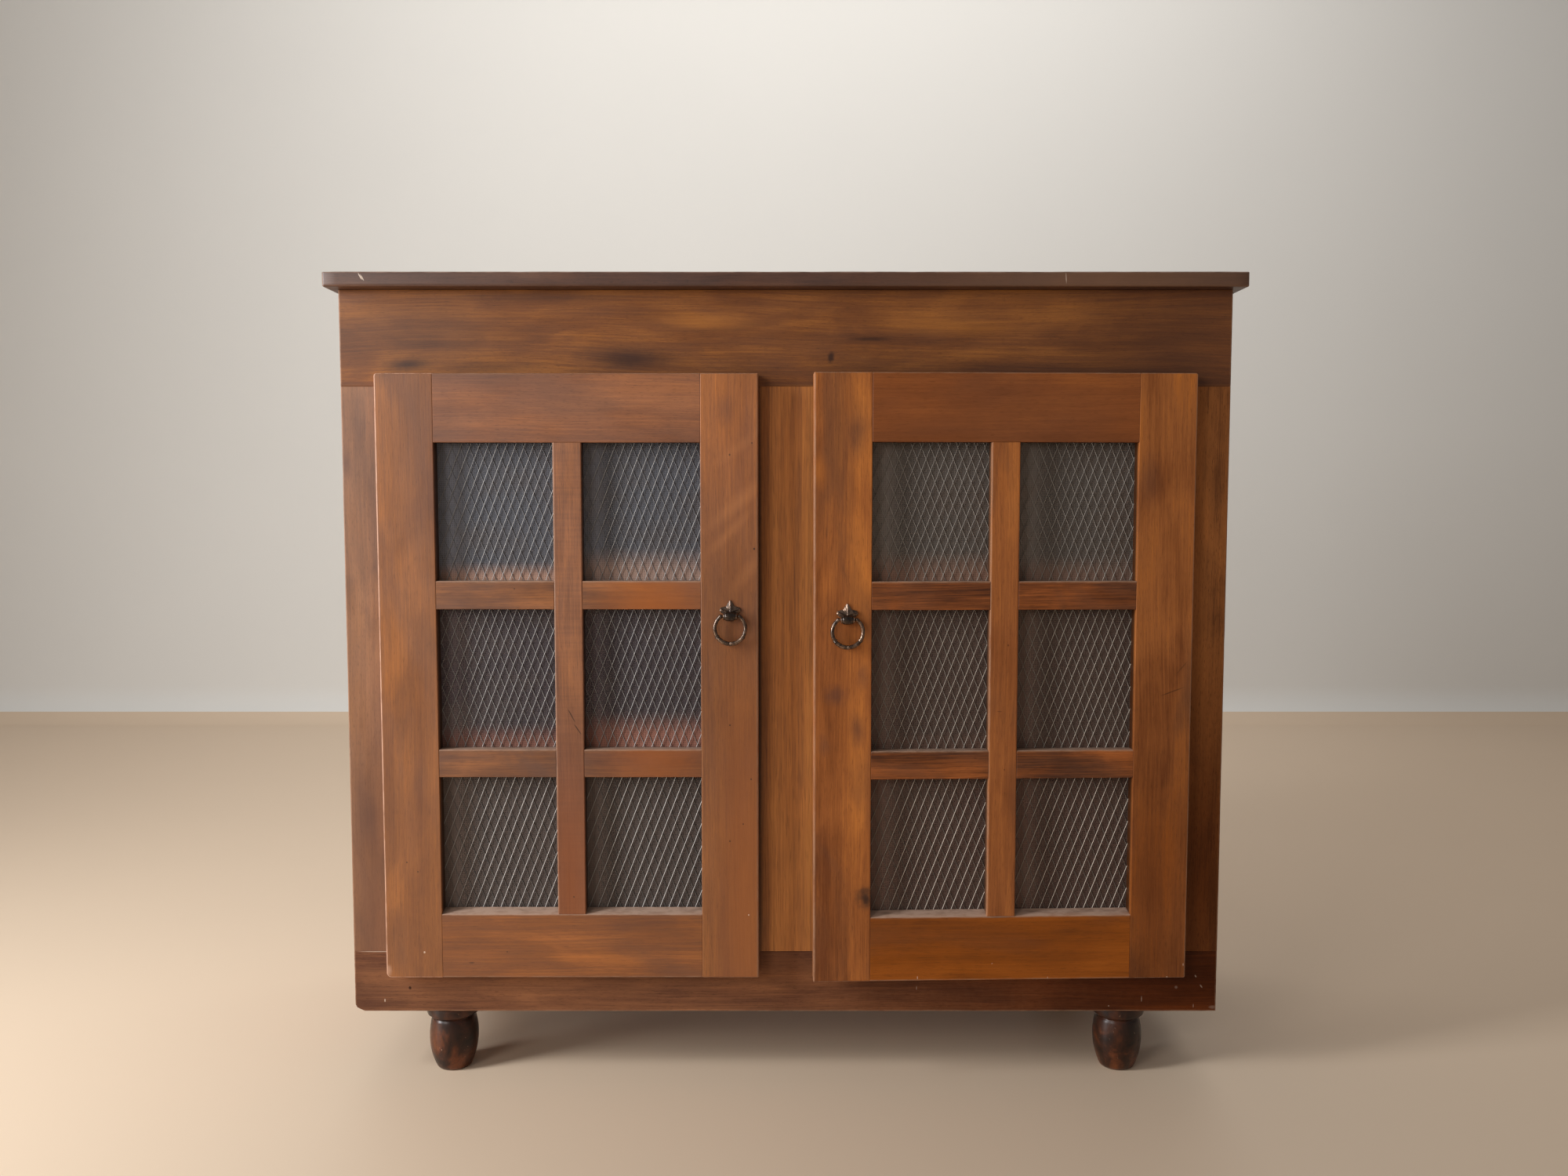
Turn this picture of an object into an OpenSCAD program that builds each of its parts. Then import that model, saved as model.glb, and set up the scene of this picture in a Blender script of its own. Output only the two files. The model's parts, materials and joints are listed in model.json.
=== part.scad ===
// Two-door mesh cupboard on turned feet, in millimetres.
// The front faces -Y, +Z is up, and the floor is at z = 0.
// x = 0 is the middle of the case, and y = 0 is halfway between its foremost and rearmost points.

/* [Case] */
// Width of the case over its side panels
case_w = 1100; // [1000:10:1240]
// Depth of the case from the face frame to the back boards
case_d = 400; // [340:10:480]
// Height of the rail under the doors
base_rail_h = 78.5; // [66:0.5:95]
// Height of the stiles between the two rails
stile_h = 713.5; // [670:0.5:790]
// Height of the frieze rail over the doors
frieze_h = 118; // [80:1:150]
// Thickness of the face frame boards
frame_t = 22; // [19:1:26]
// Thickness of the side panels
side_t = 18; // [15:1:22]
// Thickness of the bottom board
floor_t = 18; // [14:1:22]
// Depth of the housings that the bottom board's tongues sit in
housing_d = 6; // [4:1:8]
// Thickness of the tongues on the bottom board's ends
tongue_t = 11; // [8:1:13]
// Thickness of the back boards
back_t = 9; // [6:1:12]
// How far the back boards lap over the side panels
back_lap = 9; // [6:1:12]
// Number of back boards
back_count = 6; // [4:1:8]
// Width of the cut at the case's lower left corner
corner_cut_w = 13; // [6:1:16]
// Height of the cut at the case's lower left corner
corner_cut_h = 10; // [4:1:12]
// Bevel of the case's sharp edges
case_ease = 0.8; // [0.3:0.1:1.5]

/* [Top] */
// Thickness of the top board
top_t = 18; // [14:1:28]
// Overhang of the top board past each side
top_side = 12.75; // [6:0.25:30]
// Overhang of the top board past the face frame
top_front = 22; // [12:1:30]
// Radius of the top board's front corners
top_corner = 5; // [2:0.5:12]
// Bevel along the top board's edges
top_ease = 1.8; // [0.5:0.1:4]

/* [Frames under the top and at the back] */
// Width of the battens that hold the top board and the shelves
batten_w = 18; // [14:1:24]
// Height of those battens
batten_h = 22; // [16:1:28]
// Thickness of the two back rails
back_rail_t = 20; // [16:1:25]
// Height of the upper back rail
back_rail_h = 60; // [40:1:80]

/* [Shelves] */
// Thickness of a shelf
shelf_t = 16; // [12:1:20]
// Height of the lower shelf's top above the middle of the lower cross bars
lower_shelf_over = 20.5; // [0:0.5:30]
// Height of the upper shelf's top above the middle of the upper cross bars
upper_shelf_over = 18; // [0:0.5:30]
// Gap between the face frame and a shelf's front edge
shelf_setback = 8; // [6:1:40]
// Play at each end of a shelf
shelf_play = 1; // [0.5:0.1:2]

/* [Feet] */
// Height of the feet under the case
foot_h = 84; // [78:1:95]
// Distance from the case's side to a foot's axis
foot_in_x = 117; // [70:1:180]
// Distance from the face frame's front to a front foot's axis
foot_in_front = 33; // [33:1:60]
// Distance from the case's back to a rear foot's axis
foot_in_back = 48; // [42:1:80]
// Radius of a foot at its belly
belly_r = 31; // [28:0.5:36]
// Height of the belly above the floor
belly_z = 42; // [36:1:46]
// Radius of the arc that a foot's lower side follows
foot_arc_low = 96; // [70:1:150]
// Radius of the arc that a foot's upper side follows
foot_arc_high = 93; // [60:1:150]
// Radius of the collar under the case
collar_r = 33.5; // [30:0.5:36]
// Height of the collar's straight band
collar_band = 11.5; // [6:0.5:14]
// Height of the collar's taper down to the neck
collar_taper = 5; // [3:0.5:8]
// Radius of the neck under the collar
neck_r = 27; // [24:0.5:29]
// Radius of the peg on top of a foot
peg_r = 10; // [7:0.5:10]
// Length of the peg on top of a foot
peg_l = 38; // [24:1:44]
// Width of the two bearers that take the pegs
bearer_w = 75; // [60:1:100]

/* [Doors] */
// Distance from the case's side to a door's outer edge
door_margin = 48.5; // [36:0.5:60]
// Gap between the two doors
door_split = 67; // [40:1:90]
// How far a door laps over the stiles
lap_side = 16; // [16:1:22]
// How far a door laps over the frieze rail
lap_top = 14; // [8:0.5:20]
// How far a door laps over the base rail
lap_bottom = 25.5; // [10:0.5:30]
// Thickness of a door
door_t = 22; // [21:0.5:24]
// Gap between a closed door and the face frame
door_clear = 1; // [0.8:0.1:1.5]
// Width of a door's stiles
door_stile_w = 71; // [66:1:85]
// Height of a door's top rail
door_top_h = 84; // [60:1:100]
// Height of a door's bottom rail at its front
door_bottom_h = 81; // [60:1:100]
// Rise of the bottom rail's sill from its front to the mesh
sill_rise = 4; // [2:0.5:5]
// Width of the glazing bars
bar_w = 35; // [25:1:45]
// Share of the panes' whole height that lies under the middle of the lower cross bars
lower_bar_share = 0.3257; // [0.28:0.01:0.38]
// Share of the panes' whole height that lies under the middle of the upper cross bars
upper_bar_share = 0.682; // [0.62:0.01:0.72]
// Bevel round a door's front and back edges
door_ease = 1.6; // [0.8:0.1:2]
// Angle by which the right door stands ajar
right_ajar = 1.8; // [0:0.1:4]

/* [Joints in the wood] */
// Length of the tenons
tenon_l = 28; // [20:1:40]
// Thickness of the tenons
tenon_t = 7; // [5:0.5:8]
// Shoulder at the ends of a tenon
tenon_shoulder = 10; // [6:1:14]
// Length of the stub tenons on the glazing bars
stub_l = 7; // [5:1:12]
// Play round a tenon or peg in its mortise
joint_play = 0.15; // [0.1:0.05:0.3]

/* [Mesh panels] */
// Depth of the mesh behind a door's front
mesh_depth = 17.5; // [17:0.1:18]
// How far the mesh and screen lap behind the frame
mesh_lap = 8; // [6:0.5:10]
// Play between the mesh panel and its rebate
mesh_play = 0.8; // [0.6:0.1:1.5]
// Width of one diamond of the mesh
diamond_w = 11.2; // [10:0.2:16]
// Height of one diamond of the mesh
diamond_h = 28.5; // [24:0.5:36]
// Width of a wire of the mesh
wire_w = 1.2; // [0.8:0.1:1.6]
// Thickness of each of the two layers of wires
wire_t = 0.9; // [0.6:0.1:1.2]
// Thickness of the fly screen behind the mesh
screen_t = 0.5; // [0.4:0.1:1]
// Thickness of the beads that hold the panel in
bead_t = 6; // [5:0.5:8]
// Chamfer on the beads
bead_chamfer = 3; // [1:0.5:3.5]

/* [Hinges] */
// Distance from the door's top down to the upper hinge's middle
upper_hinge_down = 122; // [90:1:190]
// Height of the lower hinge's middle above the door's bottom
lower_hinge_up = 121; // [90:1:150]
// Length of a hinge
hinge_l = 50; // [40:1:70]
// Width of a hinge leaf from the pin's axis
leaf_w = 19; // [16:1:22]
// Thickness of a hinge leaf
leaf_t = 1.2; // [1:0.1:1.4]
// Radius of the knuckles
knuckle_r = 3.5; // [3:0.1:3.6]
// Number of knuckles of a hinge
knuckle_count = 5; // [5:2:7]
// Gap between neighbouring knuckles
knuckle_gap = 0.2; // [0.1:0.05:0.4]
// Gap between a knuckle and the wood beside it
knuckle_clear = 0.3; // [0.3:0.05:0.6]
// Distance from a door's outer edge to the pin's axis
axis_out = 1.5; // [1:0.1:2]
// Radius of the hinge pin
pin_r = 1.5; // [1.2:0.1:1.8]
// Play between the hinge pin and its knuckles
pin_play = 0.05; // [0.02:0.01:0.08]
// Radius of the hinge pin's head
pin_head_r = 2.6; // [2.2:0.1:3]
// Height of the hinge pin's head
pin_head_h = 1.2; // [0.8:0.1:2]
// Radius of a hinge screw
screw_r = 1.4; // [1:0.1:1.6]
// Radius of a hinge screw's head
screw_head_r = 2.7; // [2.2:0.1:3]
// Length of a hinge screw
screw_l = 12; // [8:1:14]
// Distance from a hinge's middle to each of its two screws
screw_off = 15; // [10:1:18]
// Distance from the pin's axis to the screws
screw_in = 11.5; // [9:0.5:13]
// Play round a hinge screw
screw_play = 0.05; // [0.02:0.01:0.1]

/* [Ring handles] */
// Distance from the left door's inner edge to its handle
left_handle_in = 34.6; // [28:0.1:44]
// Distance from the right door's inner edge to its handle
right_handle_in = 41; // [28:0.1:44]
// Height of the left handle's pivot above the door's bottom
left_handle_up = 456.4; // [400:0.1:500]
// Height of the right handle's pivot above the door's bottom
right_handle_up = 453.4; // [400:0.1:500]
// Radius of the ring to the middle of its wire
ring_r = 18.5; // [16:0.5:22]
// Radius of the ring's wire
ring_wire_r = 2.25; // [1.8:0.05:2.4]
// Radius of the ring's wire in its heavier lower part
ring_low_r = 2.55; // [2.5:0.05:2.7]
// Radius of the three collars on the ring
ring_collar_r = 3; // [2.8:0.1:3.2]
// Angle that each collar spans
ring_collar_span = 9; // [6:1:12]
// Angle from the ring's lowest point to each outer collar
ring_collar_at = 56; // [45:1:65]
// Radius of the balls at the ring's two ends
ring_ball_r = 2.7; // [2.6:0.1:2.9]
// Distance from the door's front to the ring's plane
ring_stand = 7.2; // [7:0.1:8]
// Radius of the two pins on the ring
ring_pin_r = 1.5; // [1.2:0.1:1.6]
// Length of each pin inside the boss
ring_pin_l = 3.2; // [2.5:0.1:4]
// Play between the ring's pins and the boss
ring_pin_play = 0.05; // [0.02:0.01:0.08]
// Half the width of the boss that holds the ring
boss_half_w = 8.6; // [8:0.1:9]
// Radius of the boss at its middle
boss_r = 6; // [5.5:0.1:6.5]
// Radius of the boss at its two ends
boss_end_r = 4.2; // [3.8:0.1:4.6]
// Gap between the boss and the ring's balls
boss_gap = 0.25; // [0.2:0.05:0.4]
// Thickness of the rosette's leaf
leaf_plate_t = 2.4; // [1.8:0.1:3]
// Height of the leaf's point above the pivot
leaf_tip = 19.6; // [16:0.1:24]
// Distance from the leaf's middle to the middle of each side lobe
lobe_out = 10.2; // [9:0.1:11]
// Height of the side lobes above the pivot
lobe_up = 4; // [3:0.1:5]
// Radius of the side lobes
lobe_r = 3.8; // [3.4:0.1:4.4]
// Radius of the stud through the door
stud_r = 2; // [1.6:0.1:2.4]
// Thickness of the nut on the stud
nut_t = 3.2; // [2.5:0.1:4]
// Width of the nut across its flats
nut_w = 7; // [6.5:0.1:9]
// Length of the stud past its nut
stud_past = 1.2; // [0.5:0.1:3]

/* [Catches] */
// Distance from the door's top down to the middle of the catches
catch_down = 60; // [45:1:90]
// Length of a catch
catch_l = 40; // [30:1:50]
// Width of a catch from the centre stile's edge
catch_w = 12; // [10:1:14]
// Depth of a catch behind the face frame's front
catch_d = 18; // [12:1:20]
// Thickness of the strike plate on the door
strike_t = 1.1; // [0.8:0.1:1.2]
// Gap between the strike plate and the closed catch
strike_gap = 0.3; // [0.2:0.05:0.5]

/* [Hidden] */
$fn = 64;

case_colour = [0.36, 0.20, 0.12];
top_colour = [0.28, 0.17, 0.13];
door_colour = [0.52, 0.28, 0.15];
inner_colour = [0.42, 0.27, 0.18];
foot_colour = [0.20, 0.11, 0.08];
wire_colour = [0.62, 0.63, 0.65];
screen_colour = [0.22, 0.22, 0.23];
iron_colour = [0.16, 0.14, 0.13];
steel_colour = [0.50, 0.48, 0.45];

// Cuts run this far past the face that they open
over = 1;

// Heights of the case
base_top_z = foot_h + base_rail_h;
stile_top_z = base_top_z + stile_h;
case_top_z = stile_top_z + frieze_h;
floor_z = base_top_z - floor_t;

// A door's own frame: x from its outer edge, y from its front to its back, z from its bottom
door_w = (case_w - 2 * door_margin - door_split) / 2;
door_h = stile_h + lap_top + lap_bottom;
open_w = door_w - 2 * door_stile_w;
open_h = door_h - door_top_h - door_bottom_h;
sheet_x = door_stile_w - mesh_lap + mesh_play;
sheet_z = door_bottom_h - mesh_lap + mesh_play;
sheet_w = open_w + 2 * (mesh_lap - mesh_play);
sheet_h = open_h + 2 * (mesh_lap - mesh_play);
screen_y = mesh_depth + 2 * wire_t;
tenon_y = (mesh_depth - tenon_t) / 2;
lower_bar_up = door_bottom_h + lower_bar_share * open_h;
upper_bar_up = door_bottom_h + upper_bar_share * open_h;
upper_hinge_up = door_h - upper_hinge_down;
catch_up = door_h - catch_down;

// The hinge pin's axis lies just clear of the face frame and of the door's edge
axis_proud = knuckle_r + knuckle_clear;
axis_x = -axis_out;
axis_y = door_t + door_clear - axis_proud;
knuckle_l = (hinge_l - (knuckle_count - 1) * knuckle_gap) / knuckle_count;

// The ring's ends meet the pivot's height where they reach the boss
ring_end_x = boss_half_w + boss_gap + ring_ball_r;
ring_end_angle = asin(ring_end_x / ring_r);
ring_drop = ring_r * cos(ring_end_angle);

// The right handle on its ajar door reaches furthest forward
right_handle_x = door_w - right_handle_in - axis_x;
front_reach = axis_proud + right_handle_x * sin(right_ajar)
    + (axis_y + ring_stand) * cos(right_ajar) + boss_r;
face_y = (front_reach - case_d) / 2;
door_y = face_y - door_clear - door_t;
door_z = base_top_z - lap_bottom;
door_x = -case_w / 2 + door_margin;

// The shelves lie level with the doors' cross bars
lower_shelf_z = door_z + lower_bar_up + lower_shelf_over;
upper_shelf_z = door_z + upper_bar_up + upper_shelf_over;

// Widths of the face frame's stiles follow from the doors that lap over them
outer_stile_w = door_margin + lap_side;
centre_stile_w = door_split + 2 * lap_side;

// A block with beveled edges along x, y and z, made by crossing three prisms
module eased_block(size, ease) {
    intersection() {
        linear_extrude(size[2]) beveled([size[0], size[1]], ease);
        translate([0, size[1], 0]) rotate([90, 0, 0])
            linear_extrude(size[1]) beveled([size[0], size[2]], ease);
        rotate([90, 0, 90]) linear_extrude(size[0]) beveled([size[1], size[2]], ease);
    }
}

// A rectangle with its four corners cut off
module beveled(size, cut) {
    polygon([
        [cut, 0], [size[0] - cut, 0], [size[0], cut], [size[0], size[1] - cut],
        [size[0] - cut, size[1]], [cut, size[1]], [0, size[1] - cut], [0, cut]
    ]);
}

// The case's outer envelope, with its cut lower left corner
module case_blank() {
    translate([-case_w / 2, face_y + case_d, foot_h]) rotate([90, 0, 0])
        linear_extrude(case_d) polygon([
            [corner_cut_w, 0], [case_w - case_ease, 0], [case_w, case_ease],
            [case_w, case_top_z - foot_h], [0, case_top_z - foot_h], [0, corner_cut_h],
            [corner_cut_w / 5, corner_cut_h / 2]
        ]);
}

// The face frame's envelope, with its outer front edges beveled
module face_blank() {
    intersection() {
        case_blank();
        translate([-case_w / 2, face_y, foot_h]) linear_extrude(case_top_z - foot_h) polygon([
            [case_ease, 0], [case_w - case_ease, 0], [case_w, case_ease],
            [case_w, frame_t], [0, frame_t], [0, case_ease]
        ]);
    }
}

// A block in the case's frame, placed by its low corner behind the face frame's front
module case_block(x, y, z, size) {
    translate([x, face_y + y, z]) cube(size);
}

// The tenon on the end of a face frame stile, or its mortise when play is given
module stile_tenon(x, width, z, play) {
    case_block(x + tenon_shoulder - play, (frame_t - tenon_t) / 2 - play, z - play,
        [width - 2 * tenon_shoulder + 2 * play, tenon_t + 2 * play, tenon_l + 2 * play]);
}

// The left edges and widths of the three stiles
stiles = [
    [-case_w / 2, outer_stile_w], [-centre_stile_w / 2, centre_stile_w],
    [case_w / 2 - outer_stile_w, outer_stile_w]
];

module top_board() {
    width = case_w + 2 * top_side;
    depth = case_d + top_front;
    color(top_colour) translate([-width / 2, face_y - top_front, case_top_z]) intersection() {
        linear_extrude(top_t) union() {
            translate([top_corner, 0]) square([width - 2 * top_corner, depth]);
            translate([0, top_corner]) square([width, depth - top_corner]);
            for (x = [top_corner, width - top_corner])
                translate([x, top_corner]) circle(top_corner);
        }
        eased_block([width, depth, top_t], top_ease);
    }
}

// Each side panel is rebated for the back boards and housed for the bottom board's tongue
module side_panel(side) {
    inner = case_w / 2 - side_t;
    panel_d = case_d - frame_t;
    color(case_colour) difference() {
        intersection() {
            case_blank();
            case_block(side * (case_w / 2 - side_t / 2) - side_t / 2, frame_t, foot_h,
                [side_t, panel_d, case_top_z - foot_h]);
        }
        case_block(side * inner - back_lap, case_d - back_t, foot_h - over,
            [2 * back_lap, back_t + over, case_top_z - foot_h + 2 * over]);
        case_block(side * inner - housing_d - joint_play, frame_t - over, floor_z - joint_play,
            [2 * (housing_d + joint_play), panel_d - back_t + over, tongue_t + 2 * joint_play]);
    }
}

module left_side_panel() side_panel(-1);
module right_side_panel() side_panel(1);

module bottom_board() {
    inner = case_w / 2 - side_t;
    depth = case_d - frame_t - back_t;
    color(inner_colour) {
        case_block(-inner + joint_play, frame_t, floor_z,
            [2 * (inner - joint_play), depth, floor_t]);
        case_block(-inner - housing_d, frame_t, floor_z, [2 * (inner + housing_d), depth, tongue_t]);
    }
}

// Back boards with lapped edges, a hair apart as boards that have dried are
module back_boards() {
    width = case_w - 2 * side_t + 2 * back_lap - 2 * joint_play;
    lap = back_t;
    gap = 2 * joint_play;
    pitch = (width + gap) / back_count;
    color(inner_colour) for (i = [0 : back_count - 1]) {
        first = i == 0 ? 0 : lap;
        last = i == back_count - 1 ? 0 : lap;
        right = pitch - gap;
        translate([-width / 2 + i * pitch, face_y + case_d - back_t, foot_h])
            linear_extrude(case_top_z - foot_h) polygon([
                [-first, 0], [right - last, 0], [right - last, back_t / 2 - gap / 2],
                [right, back_t / 2 - gap / 2], [right, back_t], [0, back_t],
                [0, back_t / 2 + gap / 2], [-first, back_t / 2 + gap / 2]
            ]);
    }
}

// A rail between the side panels, against the back boards
module back_rail(z, height) {
    width = case_w - 2 * side_t;
    color(inner_colour) case_block(-width / 2, case_d - back_t - back_rail_t, z,
        [width, back_rail_t, height]);
}

module back_top_rail() back_rail(case_top_z - back_rail_h, back_rail_h);
module back_bottom_rail() back_rail(foot_h, floor_z - foot_h);

// The recesses for the frame's hinge leaves, mirrored for the right side
module hinge_recesses() {
    for (side = [0, 1]) mirror([side, 0, 0]) for (up = [lower_hinge_up, upper_hinge_up])
        translate([door_x + axis_x, face_y, door_z + up]) {
            translate([-knuckle_r, -over, -hinge_l / 2 - joint_play])
                cube([knuckle_r + leaf_w + joint_play, leaf_t + over, hinge_l + 2 * joint_play]);
            for (off = [-screw_off, screw_off]) translate([screw_in, 0, off]) rotate([-90, 0, 0])
                cylinder(r = screw_r + screw_play, h = screw_l + screw_play);
        }
}

module frieze_rail() {
    color(case_colour) difference() {
        intersection() {
            face_blank();
            case_block(-case_w / 2, 0, stile_top_z, [case_w, frame_t, frieze_h]);
        }
        for (s = stiles) stile_tenon(s[0], s[1], stile_top_z, joint_play);
    }
}

module base_rail() {
    color(case_colour) difference() {
        intersection() {
            face_blank();
            case_block(-case_w / 2, 0, foot_h, [case_w, frame_t, base_rail_h]);
        }
        for (s = stiles) stile_tenon(s[0], s[1], base_top_z - tenon_l, joint_play);
    }
}

module frame_stile(s) {
    color(case_colour) difference() {
        intersection() {
            face_blank();
            union() {
                case_block(s[0], 0, base_top_z, [s[1], frame_t, stile_h]);
                stile_tenon(s[0], s[1], base_top_z - tenon_l, 0);
                stile_tenon(s[0], s[1], stile_top_z, 0);
            }
        }
        hinge_recesses();
    }
}

module left_outer_stile() frame_stile(stiles[0]);
module centre_stile() frame_stile(stiles[1]);
module right_outer_stile() frame_stile(stiles[2]);

// A shelf rests on battens at both ends and along the back
module shelf(z) {
    width = case_w - 2 * side_t - 2 * shelf_play;
    color(inner_colour) case_block(-width / 2, frame_t + shelf_setback, z - shelf_t,
        [width, case_d - frame_t - shelf_setback - back_t - shelf_play, shelf_t]);
}

module upper_shelf() shelf(upper_shelf_z);
module lower_shelf() shelf(lower_shelf_z);

module shelf_battens() {
    inner = case_w / 2 - side_t;
    depth = case_d - frame_t - shelf_setback - back_t - batten_w - joint_play;
    color(inner_colour) for (z = [lower_shelf_z, upper_shelf_z]) {
        for (x = [-inner, inner - batten_w])
            case_block(x, frame_t + shelf_setback, z - shelf_t - batten_h,
                [batten_w, depth, batten_h]);
        case_block(-inner, case_d - back_t - batten_w, z - shelf_t - batten_h,
            [2 * inner, batten_w, batten_h]);
    }
}

module top_battens() {
    inner = case_w / 2 - side_t;
    depth = case_d - frame_t - back_t - back_rail_t;
    color(inner_colour) {
        for (x = [-inner, inner - batten_w])
            case_block(x, frame_t, case_top_z - batten_h, [batten_w, depth, batten_h]);
        case_block(-inner + batten_w + joint_play, frame_t, case_top_z - batten_h,
            [2 * (inner - batten_w - joint_play), batten_w, batten_h]);
    }
}

// Where the four feet stand, measured from the face frame's front
foot_x = case_w / 2 - foot_in_x;
foot_rear = case_d - foot_in_back;

module foot_bearers() {
    color(inner_colour) for (side = [-1, 1]) difference() {
        case_block(side * foot_x - bearer_w / 2, frame_t, foot_h,
            [bearer_w, case_d - frame_t - back_t - back_rail_t, floor_z - foot_h]);
        for (y = [foot_in_front, foot_rear]) translate([side * foot_x, face_y + y, foot_h - over])
            cylinder(r = peg_r + joint_play, h = peg_l + over + joint_play);
    }
}

// Half the outline of a turned foot: two arcs that meet at the belly, a neck and a collar
module foot_outline() {
    taper_z = foot_h - collar_band - collar_taper;
    intersection() {
        translate([belly_r - foot_arc_low, belly_z]) circle(foot_arc_low, $fn = 200);
        square([belly_r, belly_z]);
    }
    intersection() {
        translate([belly_r - foot_arc_high, belly_z]) circle(foot_arc_high, $fn = 200);
        translate([0, belly_z]) square([belly_r, taper_z - belly_z]);
    }
    polygon([
        [0, taper_z], [neck_r, taper_z], [collar_r, foot_h - collar_band],
        [collar_r, foot_h], [peg_r, foot_h], [peg_r, foot_h + peg_l], [0, foot_h + peg_l]
    ]);
}

module foot(side, y) {
    color(foot_colour) translate([side * foot_x, face_y + y, 0]) rotate_extrude() foot_outline();
}

module front_left_foot() foot(-1, foot_in_front);
module front_right_foot() foot(1, foot_in_front);
module rear_left_foot() foot(-1, foot_rear);
module rear_right_foot() foot(1, foot_rear);

// Puts what is drawn in the left door's own frame in its place
module left_hung() {
    translate([door_x, door_y, door_z]) children();
}

// The same for the right door, which mirrors the left one and stands ajar about its pin
module right_hung() {
    translate([-door_x - axis_x, door_y + axis_y, door_z]) rotate([0, 0, right_ajar])
        mirror([1, 0, 0]) translate([-axis_x, -axis_y, 0]) children();
}

// The frame's own hinge parts: the left ones, and their mirror image on the right
module on_both_pins() {
    for (side = [0, 1]) mirror([side, 0, 0]) for (up = [lower_hinge_up, upper_hinge_up])
        translate([door_x + axis_x, door_y + axis_y, door_z + up]) children();
}

// The height where the knuckle with this number starts, from the hinge's middle
function knuckle_z(i) = -hinge_l / 2 + i * (knuckle_l + knuckle_gap);

// Knuckles with these numbers, bored for the pin, in a frame with the pin's axis at its origin
module knuckle_bores() {
    translate([0, 0, -hinge_l / 2 - over])
        cylinder(r = pin_r + pin_play, h = hinge_l + 2 * over);
}

module leaf_holes() {
    for (off = [-screw_off, screw_off]) translate([screw_in, 0, off]) rotate([-90, 0, 0]) {
        translate([0, 0, -over]) cylinder(r = screw_r + screw_play, h = leaf_t + 2 * over);
        cylinder(r1 = screw_head_r + screw_play, r2 = screw_r + screw_play, h = leaf_t);
    }
}

// The leaf let into the face frame, with a web up to each of its knuckles
module frame_leaf() {
    difference() {
        union() {
            translate([-knuckle_r / 2, axis_proud, -hinge_l / 2])
                cube([leaf_w + knuckle_r / 2, leaf_t, hinge_l]);
            for (i = [0 : 2 : knuckle_count - 1]) translate([0, 0, knuckle_z(i)]) {
                cylinder(r = knuckle_r, h = knuckle_l);
                translate([-knuckle_r / 2, pin_r + 1, 0])
                    cube([knuckle_r, axis_proud - pin_r, knuckle_l]);
            }
        }
        knuckle_bores();
        translate([0, axis_proud, 0]) leaf_holes();
    }
}

module frame_hinge_leaves() color(steel_colour) on_both_pins() frame_leaf();

module hinge_pins() {
    color(steel_colour) on_both_pins() {
        translate([0, 0, -hinge_l / 2]) cylinder(r = pin_r, h = hinge_l + pin_head_h / 2);
        translate([0, 0, hinge_l / 2]) cylinder(r1 = pin_head_r, r2 = pin_head_r / 2, h = pin_head_h);
    }
}

// A countersunk screw along +Y with its head's face at the origin
module hinge_screw() {
    rotate([-90, 0, 0]) {
        cylinder(r1 = screw_head_r, r2 = screw_r, h = leaf_t);
        cylinder(r = screw_r, h = screw_l);
    }
}

module frame_hinge_screws() {
    color(steel_colour) on_both_pins() for (off = [-screw_off, screw_off])
        translate([screw_in, axis_proud, off]) hinge_screw();
}

// Magnetic catches on the centre stile's edges, just behind the closed doors
module catch_magnets() {
    front = -door_clear + strike_t + strike_gap;
    color(steel_colour) for (side = [0, 1]) mirror([side, 0, 0])
        translate([centre_stile_w / 2, face_y, door_z + catch_up]) difference() {
            translate([0, front, -catch_l / 2]) cube([catch_w, catch_d - front, catch_l]);
            translate([catch_w / 2 - 1, front - over, -catch_l / 2 - over])
                cube([2, over + 1, catch_l + 2 * over]);
        }
}

// The whole door's envelope, with its edges beveled
module door_blank() eased_block([door_w, door_t, door_h], door_ease);

// The rebate behind the frame for the mesh, the screen and their beads
module panel_rebate() {
    translate([door_stile_w - mesh_lap, mesh_depth, door_bottom_h - mesh_lap])
        cube([open_w + 2 * mesh_lap, door_t - mesh_depth + over, open_h + 2 * mesh_lap]);
}

// The bottom rail, whose sill slopes up from its front to the mesh
sill_back_z = door_bottom_h + sill_rise;

// Tenons at both ends of a rail between z and z + height
module rail_tenons(z, height, play) {
    for (x = [door_stile_w - tenon_l, door_w - door_stile_w])
        translate([x - play, tenon_y - play, z + tenon_shoulder - play])
            cube([tenon_l + 2 * play, tenon_t + 2 * play, height - 2 * tenon_shoulder + 2 * play]);
}

// Stub tenons of the cross bars, or their mortises when play is given
module bar_stubs(play) {
    muntin_x = (door_w - bar_w) / 2;
    for (x = [door_stile_w, door_w - door_stile_w, muntin_x, muntin_x + bar_w])
        for (up = [lower_bar_up, upper_bar_up]) {
            inward = x == door_stile_w || x == muntin_x + bar_w ? -1 : 0;
            translate([x + inward * stub_l - play, tenon_y - play, up - bar_w / 4 - play])
                cube([stub_l + 2 * play, tenon_t + 2 * play, bar_w / 2 + 2 * play]);
        }
}

// Stub tenons of the muntin, or their mortises when play is given
module muntin_stubs(play) {
    for (z = [door_bottom_h - stub_l, door_h - door_top_h])
        translate([door_w / 2 - bar_w / 4 - play, tenon_y - play, z - play])
            cube([bar_w / 2 + 2 * play, tenon_t + 2 * play, stub_l + 2 * play]);
}

module door_stile(x) {
    difference() {
        intersection() {
            door_blank();
            translate([x, 0, 0]) cube([door_stile_w, door_t, door_h]);
        }
        panel_rebate();
        rail_tenons(0, door_bottom_h, joint_play);
        rail_tenons(door_h - door_top_h, door_top_h, joint_play);
        bar_stubs(joint_play);
    }
}

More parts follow.
